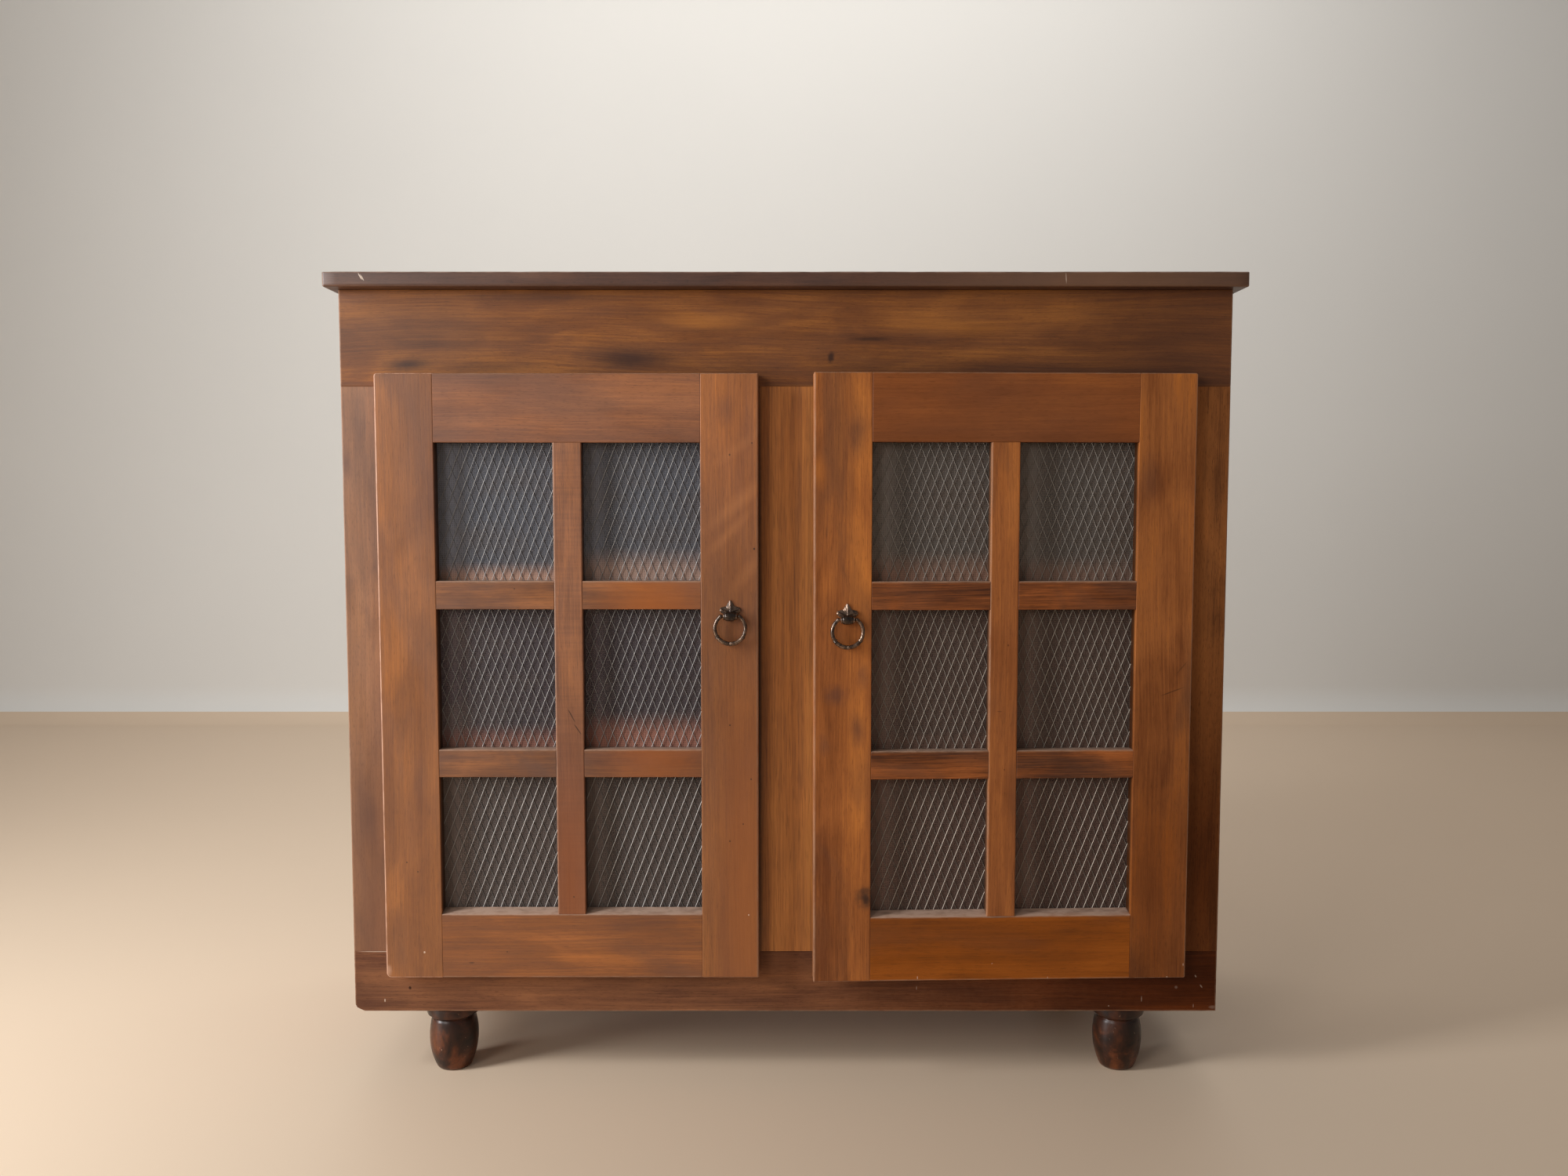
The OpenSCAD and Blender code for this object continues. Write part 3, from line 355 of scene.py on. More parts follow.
def board(lo, hi, axis, radii, **options):
    """A plain board between two corners. Radii go round from the first two sides' low corner."""
    u, v = [i for i in range(3) if "xyz"[i] != axis]
    k = "xyz".index(axis)
    points = [(lo[u], lo[v]), (hi[u], lo[v]), (hi[u], hi[v]), (lo[u], hi[v])]
    return prism(points, radii, axis, lo[k], hi[k], **options)


def carve(bm, *groups):
    """Cuts groups of solids out of a board: boxes as (low, high), upright tubes as (foot, radius, length)."""
    for group in groups:
        tool = bmesh.new()
        for item in group:
            if len(item) == 2:
                lo, hi = Vector(item[0]), Vector(item[1])
                size = Matrix.Diagonal((*(hi - lo), 1))
                bmesh.ops.create_cube(tool, size=1, matrix=Matrix.Translation((lo + hi) / 2) @ size)
            else:
                foot, radius, length = item
                middle = Matrix.Translation(Vector(foot) + Vector((0, 0, length / 2)))
                bmesh.ops.create_cone(tool, cap_ends=True, segments=24, radius1=radius, radius2=radius,
                                      depth=length, matrix=middle)
        made = [add("cutting", to_mesh("cutting", source)) for source in (bm, tool)]
        cut = made[0].modifiers.new("cut", "BOOLEAN")
        cut.operation, cut.solver, cut.object = "DIFFERENCE", "EXACT", made[1]
        result = bpy.data.meshes.new_from_object(made[0].evaluated_get(bpy.context.evaluated_depsgraph_get()))
        bm = bmesh.new()
        bm.from_mesh(result)
        for mesh in [o.data for o in made] + [result]:
            bpy.data.meshes.remove(mesh)
    return bm


def place(name, bm, node, material, matrix=Matrix(), body="carcass", sharp=35):
    """Makes a piece of a mesh in millimetres, puts it in the shared frame and hangs it on its body."""
    mesh = to_mesh(name, bm)
    mesh.transform(MM @ matrix)
    if matrix.determinant() < 0:
        mesh.flip_normals()
    mesh.shade_smooth()
    mesh.set_sharp_from_angle(angle=math.radians(sharp))
    mesh.materials.append(material)
    o = add(name, mesh)
    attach(o, body)
    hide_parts(node)


EDGE_REACH = 9.0


def grain_layer(bm, axis, seed, worn, faces_front=True, in_door=False):
    """Stores the grain, worn edges, the front and, in a door, the recess faces for painted shade as attributes.
    Worn gives planes: axis, place, reach.
    """
    rng = random.Random(seed)
    shift = Vector([rng.uniform(-40, 40) for _ in range(3)])
    k = "xyz".index(axis)
    lo = Vector([min(v.co[i] for v in bm.verts) for i in range(3)])
    hi = Vector([max(v.co[i] for v in bm.verts) for i in range(3)])
    sides = sorted([i for i in range(3) if i != k], key=lambda i: lo[i] - hi[i])
    grain = bm.verts.layers.float_vector.new("grain")
    wear, front, recess_shade = (bm.verts.layers.float.new(name) for name in ("wear", "front", "recess_shade"))
    for v in bm.verts:
        x, y, z = v.co
        v[grain] = Vector((v.co[k], v.co[sides[0]], v.co[sides[1]])) / 1000 + shift
        near = {i for i, at, reach in worn if abs(v.co[i] - at) <= reach + 0.2}
        v[wear] = 1.0 if len(near) > 1 else 0.0
        v[front] = 1.0 if faces_front and y < lo.y + 3 else 0.0
        if in_door and 5 < x < DOOR_W - 5 and 5 < z < DOOR_H - 5 and y > 4:
            rim = min(x - lo.x, hi.x - x, z - lo.z, hi.z - z) < 0.6
            v[recess_shade] = 1.0 if y < hi.y - 0.3 or rim else 0.0


def split(bm, co, no, **options):
    everything = bm.verts[:] + bm.edges[:] + bm.faces[:]
    return bmesh.ops.bisect_plane(bm, geom=everything, plane_co=co, plane_no=no, **options)


def slice_corner(bm, z, radius):
    """Cuts a door stile's hinged edge at its end into narrow strips, so that pull_corner can round it."""
    up = 1 if z == 0 else -1
    for k in range(1, 7):
        reach = radius * k / 6
        split(bm, (reach, 0, 0), (1, 0, 0), dist=0.01)
        split(bm, (0, 0, z + up * reach), (0, 0, 1), dist=0.01)


def pull_corner(bm, z, radius):
    """Rounds that corner as seen from the front."""
    up = 1 if z == 0 else -1
    for v in bm.verts:
        u, w = radius - abs(v.co.x), radius - abs(v.co.z - z)
        if u > 0 and w > 0:
            k = max(u, w) / math.hypot(u, w)
            v.co.x, v.co.z = radius - u * k, z + (radius - w * k) * up


def dress(node, axis, material, body="carcass", ease=0.8):
    """A copy of a CAD node's boards with beveled edges and its own grain for each board."""
    bm = bmesh.new()
    bm.from_mesh(NODES[node].data)
    bmesh.ops.transform(bm, matrix=Matrix.Scale(1000, 4), verts=bm.verts)
    bmesh.ops.remove_doubles(bm, verts=bm.verts, dist=0.003)
    bmesh.ops.dissolve_limit(bm, angle_limit=math.radians(2), verts=bm.verts, edges=bm.edges)
    edges = [e for e in bm.edges if len(e.link_faces) == 2 and e.calc_face_angle(0) > 0.5 and e.calc_length() > 3]
    bmesh.ops.bevel(bm, geom=edges, offset=ease, segments=2, affect="EDGES", clamp_overlap=True)
    grain = bm.verts.layers.float_vector.new("grain")
    wear, tone = (bm.verts.layers.float.new(name) for name in ("wear", "tone"))
    k = "xyz".index(axis)
    seen, island = set(), 0
    for start in bm.verts:
        if start in seen:
            continue
        rng = random.Random(f"{node}{island}")
        shift = Vector([rng.uniform(-40, 40) for _ in range(3)])
        shade = rng.uniform(-1, 1)
        island += 1
        stack = [start]
        seen.add(start)
        while stack:
            v = stack.pop()
            others = [v.co[i] for i in range(3) if i != k]
            v[grain] = Vector((v.co[k], *others)) / 1000 + shift
            v[wear] = 0.5
            v[tone] = shade
            for e in v.link_edges:
                w = e.other_vert(v)
                if w not in seen:
                    seen.add(w)
                    stack.append(w)
    for f in bm.faces:
        if f.calc_area() > 40 * ease:
            for v in f.verts:
                v[wear] = 0.0
    place(node + "_wood", bm, node, material, body=body)


# Wood tones: light, mid, dark and the stain's blotches. Depth is how dark the painted shade in a door's recesses is
DOOR_TONES = {
    "left": dict(light=(176, 108, 52), mid=(140, 86, 46), dark=(110, 66, 41), stain=(100, 68, 53), depth=0.88,
                 glow=0.48, contrast=0.55, pores=0.26),
    "right": dict(light=(190, 112, 44), mid=(153, 86, 35), dark=(115, 62, 28), stain=(92, 60, 44), depth=0.88,
                  glow=0.48, contrast=0.55, pores=0.28, spec=0.22),
}
CASE = dict(light=(158, 98, 44), mid=(118, 70, 36), dark=(82, 48, 31), stain=(64, 42, 36))
BASE = dict(light=(152, 100, 66), mid=(126, 82, 56), dark=(98, 62, 45), stain=(80, 54, 43))
INNER = dict(light=(176, 128, 92), mid=(150, 104, 72), dark=(112, 76, 52), stain=(96, 66, 48))
BLACK, PALE = (38, 20, 14), (226, 204, 184)
FINE_TICKS = (140, 1500)


def mark(x, z, w, h, tint, strength, tilt=0, soft=1.0):
    """A spot, smudge or scratch on the front: place, half width and height, tilt in degrees, soft from 0 to 1."""
    return (x, z, w, h, tilt, tint, strength, soft)


def dot(x, z, r=1.2, tint=BLACK, strength=0.85):
    return mark(x, z, r, r * 1.2, tint, strength, soft=0.6)


# Small pale dents, low on the right
NICKS = [mark(x, z, w, h, PALE, strength, tilt, 0.6) for x, z, w, h, tilt, strength in (
    (523.3, 130, 1.2, 2.4, 30, 0.42), (530.7, 116.7, 1, 3.2, 35, 0.30), (521.2, 91, 0.5, 3.2, 0, 0.40),
    (454.8, 100, 0.7, 4.5, 0, 0.30), (413, 91, 1.3, 1.3, 0, 0.30), (498.6, 115.7, 2.6, 2.6, 0, 0.16),
    (545, 89.5, 6, 2.8, 0, 0.12), (167.2, 114.6, 0.5, 3, 0, 0.40))]
DOOR_NICKS = [mark(x, z, w, h, PALE, 0.55, tilt, 0.6) for x, z, w, h, tilt in (
    (479, 138.1, 1.3, 1.2, 0), (499.3, 154.2, 0.6, 2.2, 0), (328.1, 139.1, 0.6, 2.2, 0),
    (164.5, 141.1, 0.6, 2.4, 0), (258, 158.2, 1.2, 0.6, 25))]

case = {
    "top_board": wood("top_wood", CASE, light=(106, 71, 51), mid=(86, 55, 40), dark=(60, 37, 29), blotch=0.6,
        blot=(3.5, 9), worn=(176, 146, 128), ticks=FINE_TICKS, pores=0.4,
        marks=[mark(-515.2, 1006, 0.8, 5.2, PALE, 0.75, 30, 0.5),
            mark(-512.8, 1004.6, 0.8, 5, PALE, 0.65, 30, 0.5), mark(400, 1000, 400, 100, (128, 92, 66), 0.5),
            mark(339.5, 1004, 0.7, 7.5, PALE, 0.4, 4, 0.6)]),
    "frieze_rail": wood("frieze_wood", CASE, blotch=0.45, blot=(1.6, 11), figure=(0.7, 24), streak=0.3,
        pores=0.32, ticks=FINE_TICKS, bend=0.05, glow=0.45, spec=0.3,
        marks=[mark(-460, 940, 200, 70, (84, 58, 44), 0.45), mark(-190, 912, 95, 20, (42, 28, 29), 0.72, -3),
            mark(-200, 905, 45, 13, (38, 26, 27), 0.4), mark(-465, 903, 45, 12, (44, 30, 30), 0.8, 4),
            mark(-360, 900, 90, 12, (66, 40, 32), 0.5), mark(-300, 985, 160, 10, (70, 44, 32), 0.5),
            mark(56, 912, 6, 9, (48, 28, 22), 0.85, -20, 0.7), mark(105, 934, 35, 4, (46, 28, 22), 0.7, 0, 0.9),
            mark(-100, 955, 100, 16, (178, 112, 48), 0.4, -3),
            mark(200, 950, 120, 18, (160, 100, 40), 0.35, -2), mark(460, 940, 220, 100, (74, 42, 24), 0.45)]),
    "base_rail": wood("base_wood", BASE, blotch=0.35, blot=(2, 12), figure=(0.8, 34), streak=0.34, pores=0.36,
        ticks=FINE_TICKS, contrast=0.7, spec=0.12, coat=0.0,
        # Painted shade: darker towards the right end, away from the light
        painted_light=[mark(560, 120, 780, 300, (0.36, 0.17, 0.03), 0.98)],
        marks=[dot(-479.6, 114.6, 2.2), mark(-518, 162, 33, 0.7, PALE, 0.45, 0, 0.6),
            mark(-512, 98.2, 0.8, 3, PALE, 0.8, 0, 0.5), mark(167.1, 131, 0.6, 3, PALE, 0.7, 0, 0.5), *NICKS]),
    # Lighter and greyer than the other case boards: a painted sheen of the window on the left side
    "left_outer_stile": wood("left_case_wood", CASE, light=(162, 112, 74), mid=(138, 94, 64),
        dark=(106, 72, 52), stain=(92, 62, 50), blotch=0.52, blot=(6, 16), pores=0.4, ticks=FINE_TICKS,
        marks=[mark(-520, 200, 60, 420, (104, 62, 38), 0.6), mark(-528, 335, 20, 60, (80, 52, 44), 0.5, 4),
            mark(-545, 780, 12, 30, (84, 56, 50), 0.5)]),
    "centre_stile": wood("centre_case_wood", CASE, light=(210, 138, 72), mid=(182, 115, 58), dark=(134, 84, 50),
        stain=(96, 58, 36), blotch=0.05, figure=(0.5, 60), streak=0.42, bend=0.006, pores=0.42,
        ticks=(34, 1200), glow=0.3, spec=0.3,
        # Painted shadow: two dark bands beside the left door's edge, where the door shades the stile
        marks=[mark(-41, 500, 21, 900, (30, 14, 7), 0.85), mark(-34, 500, 6, 900, (16, 8, 4), 0.8)]),
    "right_outer_stile": wood("right_case_wood", CASE, light=(181, 114, 62), mid=(157, 99, 55), blotch=0.3,
        blot=(4, 12), pores=0.4, ticks=FINE_TICKS, spec=0.1, coat=0.0,
        # Painted shade: darker lower down the stile, away from the light
        painted_light=[mark(530, 260, 90, 440, (0.27, 0.17, 0.08), 0.9)]),
}
side_wood = wood("side_wood", CASE, blotch=0.35, blot=(1.4, 6), figure=(0.6, 22), streak=0.34, glow=0.3,
                 contrast=0.42, pores=0.4)
inner_wood = wood("inner_wood", INNER, blotch=0.25, blot=(2.2, 7), figure=(0.7, 24), streak=0.34, glow=0.4,
                  rough=0.6, coat=0.0, worn=(176, 130, 96), wear=0.4, vary=0.16)


# The case. Its lower left corner is cut off between these points, measured in from the left edge and up
CORNER = ((13.0, 0.0), (2.6, 5.0), (0.0, 10.0))


def clip_corner(bm):
    """Cuts the case's lower left corner off along two lines."""
    ends = [(across - CASE_HALF, UNDER + up) for across, up in CORNER]
    for a, b in zip(ends, ends[1:]):
        n = Vector((a[1] - b[1], 0, b[0] - a[0])).normalized()
        cut = split(bm, (a[0], 0, a[1]), n, clear_outer=True, dist=0.001)
        rim = [e for e in cut["geom_cut"] if isinstance(e, bmesh.types.BMEdge)]
        bmesh.ops.contextual_create(bm, geom=rim)
    return bm


lo, hi = mm("frieze_rail")
bm = board(lo, hi, "x", (JOINT, 0.6, 0.6, 0.8), end=1.0, seed=1)
grain_layer(bm, "x", 1, [(1, lo.y, EDGE_REACH), (0, lo.x, 1.0), (0, hi.x, 1.0)])
place("frieze_board", bm, "frieze_rail", case["frieze_rail"])

lo, hi = mm("base_rail")
bm = clip_corner(board(lo, hi, "x", (1.2, 0.6, 0.6, JOINT), end=1.0, seed=2))
grain_layer(bm, "x", 2, [(1, lo.y, EDGE_REACH), (0, lo.x, 1.0), (0, hi.x, 1.0), (2, lo.z, 1.2)])
place("base_board", bm, "base_rail", case["base_rail"])

# The stiles, visible between the rails. The outer ones are worn outside and let the hinges in
for seed, (node, side) in enumerate((("left_outer_stile", -1), ("centre_stile", 0), ("right_outer_stile", 1)), 3):
    lo, hi = mm(node)
    lo.z, hi.z = mm("base_rail")[1].z, mm("frieze_rail")[0].z
    bm = board(lo, hi, "z", (1.0 if side < 0 else 0.6, 1.0 if side > 0 else 0.6, 0.6, 0.6), seed=seed)
    worn = [(1, lo.y, EDGE_REACH)]
    if side:
        half = HINGE_H / 2 + PLAY
        x0, x1 = sorted((side * (PIN_X + KNUCKLE_R), side * (PIN_X - HINGE_W - PLAY)))
        bm = carve(bm, [((x0, FACE - 2, DOOR_LO.z + up - half), (x1, FACE + HINGE_T, DOOR_LO.z + up + half))
                        for up in HINGES])
        worn.append((0, lo.x if side < 0 else hi.x, 1.0))
    grain_layer(bm, "z", seed, worn)
    place(node.replace("stile", "upright"), bm, node, case[node])

# The top, with its front corners rounded
ROUND = 5
lo, hi = mm("top_board")
bm = board(lo, hi, "x", (2.6, 2.0, 2.0, 2.2), end=2.4, seed=8, nick=0.7)
for v in bm.verts:
    dx, dy = ROUND - hi.x + abs(v.co.x), ROUND - v.co.y + lo.y
    away = math.hypot(dx, dy)
    if dx > 0 and dy > 0 and away > ROUND:
        v.co.x = math.copysign(hi.x - ROUND + dx * ROUND / away, v.co.x)
        v.co.y = lo.y + ROUND - dy * ROUND / away
grain_layer(bm, "x", 8, [(1, lo.y, 2.2), (2, hi.z, 1.8), (0, lo.x, 2.4), (0, hi.x, 2.4)])
place("top_plank", bm, "top_board", case["top_board"])

# Side panels: rebated at the back, the left one with its corner cut
for word, side in (("left", -1), ("right", 1)):
    x0, x1, y0, y1 = CASE_HALF - SIDE_T, CASE_HALF, FACE + FRAME_T, FACE + CASE_D
    points = [(x0, y0), (x1, y0), (x1, y1), (x1 - BACK_T, y1), (x1 - BACK_T, y1 - BACK_T), (x0, y1 - BACK_T)]
    bm = prism(points, (0, 0.4, 1.0, 0.4, 0, 0.4), "z", UNDER, CASE_TOP, end=0.4, pitch=26, seed=20 + side)
    if side < 0:
        bmesh.ops.scale(bm, vec=(-1, 1, 1), verts=bm.verts)
        bmesh.ops.reverse_faces(bm, faces=bm.faces)
        clip_corner(bm)
    face_out(bm)
    grain_layer(bm, "z", 20 + side, [(0, side * x1, EDGE_REACH), (1, y1, 0.6)], faces_front=False)
    place(word + "_side_board", bm, word + "_side_panel", side_wood)

# The inside, as the CAD has it
for node in ("bottom_board", "back_top_rail", "back_bottom_rail", "upper_shelf", "lower_shelf", "shelf_battens",
             "top_battens", "foot_bearers"):
    dress(node, "y" if node == "foot_bearers" else "x", inner_wood)

# Back: upright boards with lapped edges, one tone each
lo, hi = mm("back_boards")
pitch = (hi.x - lo.x + BACK_GAP) / BACK_COUNT
right, tongue, over = pitch - BACK_GAP, BACK_TONGUE, BACK_T - BACK_TONGUE
for i, shade in enumerate((-0.5, 0.7, -0.1, 1.0, -1.0, 0.3)):
    first, last = (BACK_LAP if i else 0), (BACK_LAP if i < BACK_COUNT - 1 else 0)
    points = [(-first, 0), (right - last, 0), (right - last, tongue), (right, tongue), (right, BACK_T), (0, BACK_T)]
    if i:
        points += [(0, over), (-first, over)]
    points = [(lo.x + pitch * i + x, lo.y + y) for x, y in points]
    bm = prism(points, [0.5, 0.5, 0, 0, 1.1, 1.1, 0, 0][:len(points)], "z", lo.z, hi.z, pitch=30, seed=80 + i)
    grain_layer(bm, "z", 80 + i, [], faces_front=False)
    tone = bm.verts.layers.float.new("tone")
    for v in bm.verts:
        v[tone] = shade
    place(f"back_board_{i + 1}", bm, "back_boards", inner_wood)


# Doors
LOOKS = {
    # Its light worn edge colour is partly wear and partly a painted highlight of the window on the rounded outer
    # edge
    ("left", "hinge_stile"): dict(blotch=0.4, worn=(196, 150, 124), wear=0.85,
        marks=[dot(-473, 284.5), dot(-459.5, 272.5), dot(-453.2, 169.7, 1.4, PALE, 0.7),
            mark(-498.5, 146, 6, 10, (196, 150, 122), 0.6, 0, 0.9)]),
    ("left", "lock_stile"): dict(glow=0.3, blotch=0.12, blot=(3, 7),
        # Painted light: lighter and a little bluer near the top, a painted sheen
        painted_light=[mark(-60, 820, 120, 240, (1.26, 1.22, 1.28), 1.0)],
        marks=[mark(-50, 250, 60, 450, (166, 94, 40), 0.55), dot(-68.4, 791.1, 1.6), dot(-38.6, 676.2, 1.6),
            dot(-41.2, 805.4), dot(-69, 457.6, 1.4), dot(-42.9, 389.7), dot(-52.8, 333.2), dot(-69.5, 311.4),
            dot(-46.2, 217.5, 1, PALE, 0.8), mark(-52, 738, 14, 80, (202, 132, 78), 0.27, -50),
            mark(-70, 695, 10, 60, (202, 132, 78), 0.20, -44),
            mark(-58, 800, 10, 65, (198, 128, 74), 0.17, -54),
            mark(-45, 650, 12, 50, (202, 132, 78), 0.18, -40), mark(-35, 600, 16, 50, (96, 60, 44), 0.3, -10),
            mark(-75, 845, 20, 30, (92, 62, 54), 0.4)]),
    ("left", "top_rail"): dict(light=(166, 104, 62), mid=(137, 85, 54), dark=(106, 67, 48), blotch=0.4,
        pores=0.36, ticks=(120, 1300), streak=0.32, figure=(0.8, 30), bend=0.04),
    ("left", "bottom_rail"): dict(light=(172, 102, 48), mid=(136, 80, 40), blotch=0.45, streak=0.36,
        figure=(0.8, 34), dust=0.85,
        marks=[mark(-393.9, 156.2, 5, 1.5, BLACK, 0.6, 0, 0.8), dot(-349.4, 170.3, 1)]),
    ("left", "muntin"): dict(light=(172, 110, 68), mid=(137, 88, 59), dark=(106, 68, 50), blotch=0.3,
        ripple=0.16,
        marks=[mark(-268, 260, 50, 270, (136, 70, 26), 0.68), mark(-265.5, 470, 0.9, 12, BLACK, 0.75, 28, 0.5),
            mark(-257.5, 452, 0.9, 10, BLACK, 0.75, 34, 0.5), dot(-264.9, 240.6)]),
    ("left", "bars"): dict(light=(154, 96, 54), mid=(120, 75, 46), dark=(88, 55, 40), contrast=0.75, blotch=0.7,
        blot=(8, 14), dust=0.6,
        marks=[mark(-160, 520, 110, 260, (172, 92, 26), 0.8), dot(-333.8, 627)]),
    ("right", "hinge_stile"): dict(mid=(160, 96, 48), blotch=0.6, blot=(3.8, 10),
        # Painted shade: darker low down on the door's right edge, away from the light
        painted_light=[mark(460, 260, 120, 340, (0.40, 0.26, 0.08), 0.72),
            mark(460, 155, 60, 60, (0.62, 0.55, 0.40), 0.6)],
        marks=[mark(445, 760, 20, 50, (88, 54, 40), 0.5), *DOOR_NICKS[:2],
            mark(479, 500, 18, 1, BLACK, 0.5, 20, 0.5), mark(490, 530, 12, 0.9, BLACK, 0.4, 50, 0.5)]),
    ("right", "lock_stile"): dict(light=(196, 119, 54), mid=(158, 92, 44), blotch=0.6, blot=(3.8, 10),
        marks=[mark(85, 820, 18, 50, (88, 56, 44), 0.55), mark(40, 770, 16, 30, (198, 116, 44), 0.4),
            mark(98.1, 244.6, 16, 22, (60, 42, 34), 0.85, 10, 0.95),
            mark(100, 240, 6, 10, (44, 30, 24), 0.6, 10, 0.9),
            mark(61.1, 496.8, 22, 18, (92, 58, 48), 0.6, 0, 0.95), mark(88, 455, 14, 30, (84, 54, 46), 0.5, 8),
            mark(47, 435, 12, 20, (96, 62, 50), 0.4), mark(95, 520, 10, 22, (90, 60, 50), 0.4)]),
    ("right", "top_rail"): dict(light=(156, 90, 42), mid=(136, 76, 36), blotch=0.3, streak=0.3,
        figure=(0.8, 30)),
    ("right", "bottom_rail"): dict(light=(158, 84, 18), mid=(136, 70, 10), dark=(106, 54, 10), blotch=0.3,
        streak=0.3, figure=(0.8, 30), dust=0.85,
        marks=[*DOOR_NICKS, mark(265.1, 217.5, 22, 2.2, (70, 52, 44), 0.6, 0, 0.9)]),
    ("right", "muntin"): dict(light=(190, 116, 56), mid=(153, 90, 46), blotch=0.5, blot=(3.4, 14),
        marks=[dot(273.4, 558, 1.4, (92, 46, 22), 0.7), dot(270.5, 403.2, 1.4, (92, 46, 22), 0.7),
            mark(263.2, 475.9, 5, 0.9, (96, 50, 26), 0.7, 0, 0.7)]),
    ("right", "bars"): dict(light=(170, 96, 46), mid=(124, 68, 32), dark=(70, 37, 20), contrast=0.8, blotch=0.5,
        blot=(6, 16), streak=0.4, figure=(1.1, 30), dust=0.6),
}
door_wood = {(word, part): wood(f"{word}_{part}_wood", DOOR_TONES[word], **look)
             for (word, part), look in LOOKS.items()}


def door_piece(word, part, bm, axis, seed, worn, rounds=(), name="", node=""):
    """Hangs a piece of a door, with its grain and perhaps rounded corners: place up the stile, radius."""
    name, node = name or part + "_board", node or ("door_" + part if part.endswith("rail") else part)
    for spot in rounds:
        slice_corner(bm, *spot)
    grain_layer(bm, axis, seed, worn, in_door=True)
    for spot in rounds:
        pull_corner(bm, *spot)
    place(f"{word}_{name}", bm, f"{word}_{node}", door_wood[word, part], DOORS[word], word + "_door")


for word in DOORS:
    # The left door is more worn at its lower outer corner
    if word == "left":
        seed, edge, rounds = 40, 1.6, ((0, 6.0), (DOOR_H, 3.4))
    else:
        seed, edge, rounds = 60, 1.5, ((0, 2.0), (DOOR_H, 2.6))
    front, left, right, under_top = (1, 0.0, EDGE_REACH), STILE, DOOR_W - STILE, DOOR_H - TOP_H
    bar_left, bar_right = (DOOR_W - BAR) / 2, (DOOR_W + BAR) / 2

    half = HINGE_H / 2 + PLAY
    leaves = [((PIN[0] - 2, DOOR_T - HINGE_T, up - half), (PIN[0] + HINGE_W + PLAY, DOOR_T + 2, up + half))
              for up in HINGES]
    knuckles = [((*PIN, up - half), KNUCKLE_R + 0.3, 2 * half) for up in HINGES]
    pin_heads = [((*PIN, up + HINGE_H / 2), PIN_HEAD_R, PIN_HEAD_H) for up in HINGES]
    bm = board((0, 0, 0), (STILE, DOOR_T, DOOR_H), "z", (edge, 0.5, 0.5, 1.2), end=1.6, seed=seed)
    door_piece(word, "hinge_stile", carve(bm, [REBATE], leaves, knuckles, pin_heads), "z", seed,
               [(0, 0.0, edge), front, (1, DOOR_T, 2), (2, 0.0, 1.0), (2, DOOR_H, 0.8)], rounds)

    bm = board((right, 0, 0), (DOOR_W, DOOR_T, DOOR_H), "z", (0.9, 1.8, 1.2, 0.5), end=1.6, seed=seed + 1)
    door_piece(word, "lock_stile", carve(bm, [REBATE]), "z", seed + 1,
               [(0, DOOR_W, 1.8), front, (2, 0.0, 1.0), (2, DOOR_H, 0.8)])

    bm = board((left, 0, under_top), (right, DOOR_T, DOOR_H), "x", (0.9, 0.5, 1.2, 1.6), end=JOINT, seed=seed + 2)
    door_piece(word, "top_rail", carve(bm, [REBATE]), "x", seed + 2, [front, (2, DOOR_H, 0.8)])

    sill = [(0, 0), (DOOR_T, 0), (DOOR_T, BOTTOM_H), (BAR_T, SILL_BACK), (0, BOTTOM_H)]
    bm = prism(sill, (1.6, 1.2, 0, 0, 0.9), "x", left, right, end=JOINT, seed=seed + 3)
    door_piece(word, "bottom_rail", carve(bm, [REBATE]), "x", seed + 3,
               [front, (2, 0.0, 1.6), (2, BOTTOM_H, 0.9)])

    bm = board((bar_left, 0, BOTTOM_H + 0.3), (bar_right, BAR_T, under_top), "z", (1.2, 1.0, 0.5, 0.5), end=JOINT,
               seed=seed + 4, pitch=12)
    door_piece(word, "muntin", bm, "z", seed + 4, [(0, bar_left if word == "left" else bar_right, 1.2), front])

    spans = [(x0, x1, up) for up in BARS for x0, x1 in ((left, bar_left), (bar_right, right))]
    for k, (x0, x1, up) in enumerate(spans, 1):
        bm = board((x0, 0.15, up - BAR / 2), (x1, BAR_T, up + BAR / 2), "x", (0.9, 0.5, 0.5, 1.3), end=JOINT,
                   seed=seed + 4 + k, pitch=12)
        door_piece(word, "bars", bm, "x", seed + 4 + k, [(1, 0.15, EDGE_REACH), (2, up + BAR / 2, 1.3)],
                   name=f"cross_bar_{k}", node="cross_bars")

    dress(word + "_beads", "z", inner_wood, body=word + "_door", ease=0.5)


# Mesh: strands of the sheet, each drawn along its own line, a little uneven
def strand_lines():
    lean = DIAMOND_W / DIAMOND_H
    lines = []
    for k in range(-math.floor(SHEET_H * lean / DIAMOND_W), math.floor(SHEET_W / DIAMOND_W) + 1):
        foot = (k + 0.5) * DIAMOND_W
        low, high = max(0.0, -foot / lean), min(SHEET_H, (SHEET_W - foot) / lean)
        if high - low > DIAMOND_H:
            lines.append(((foot + low * lean, low), (foot + high * lean, high)))
    return lines


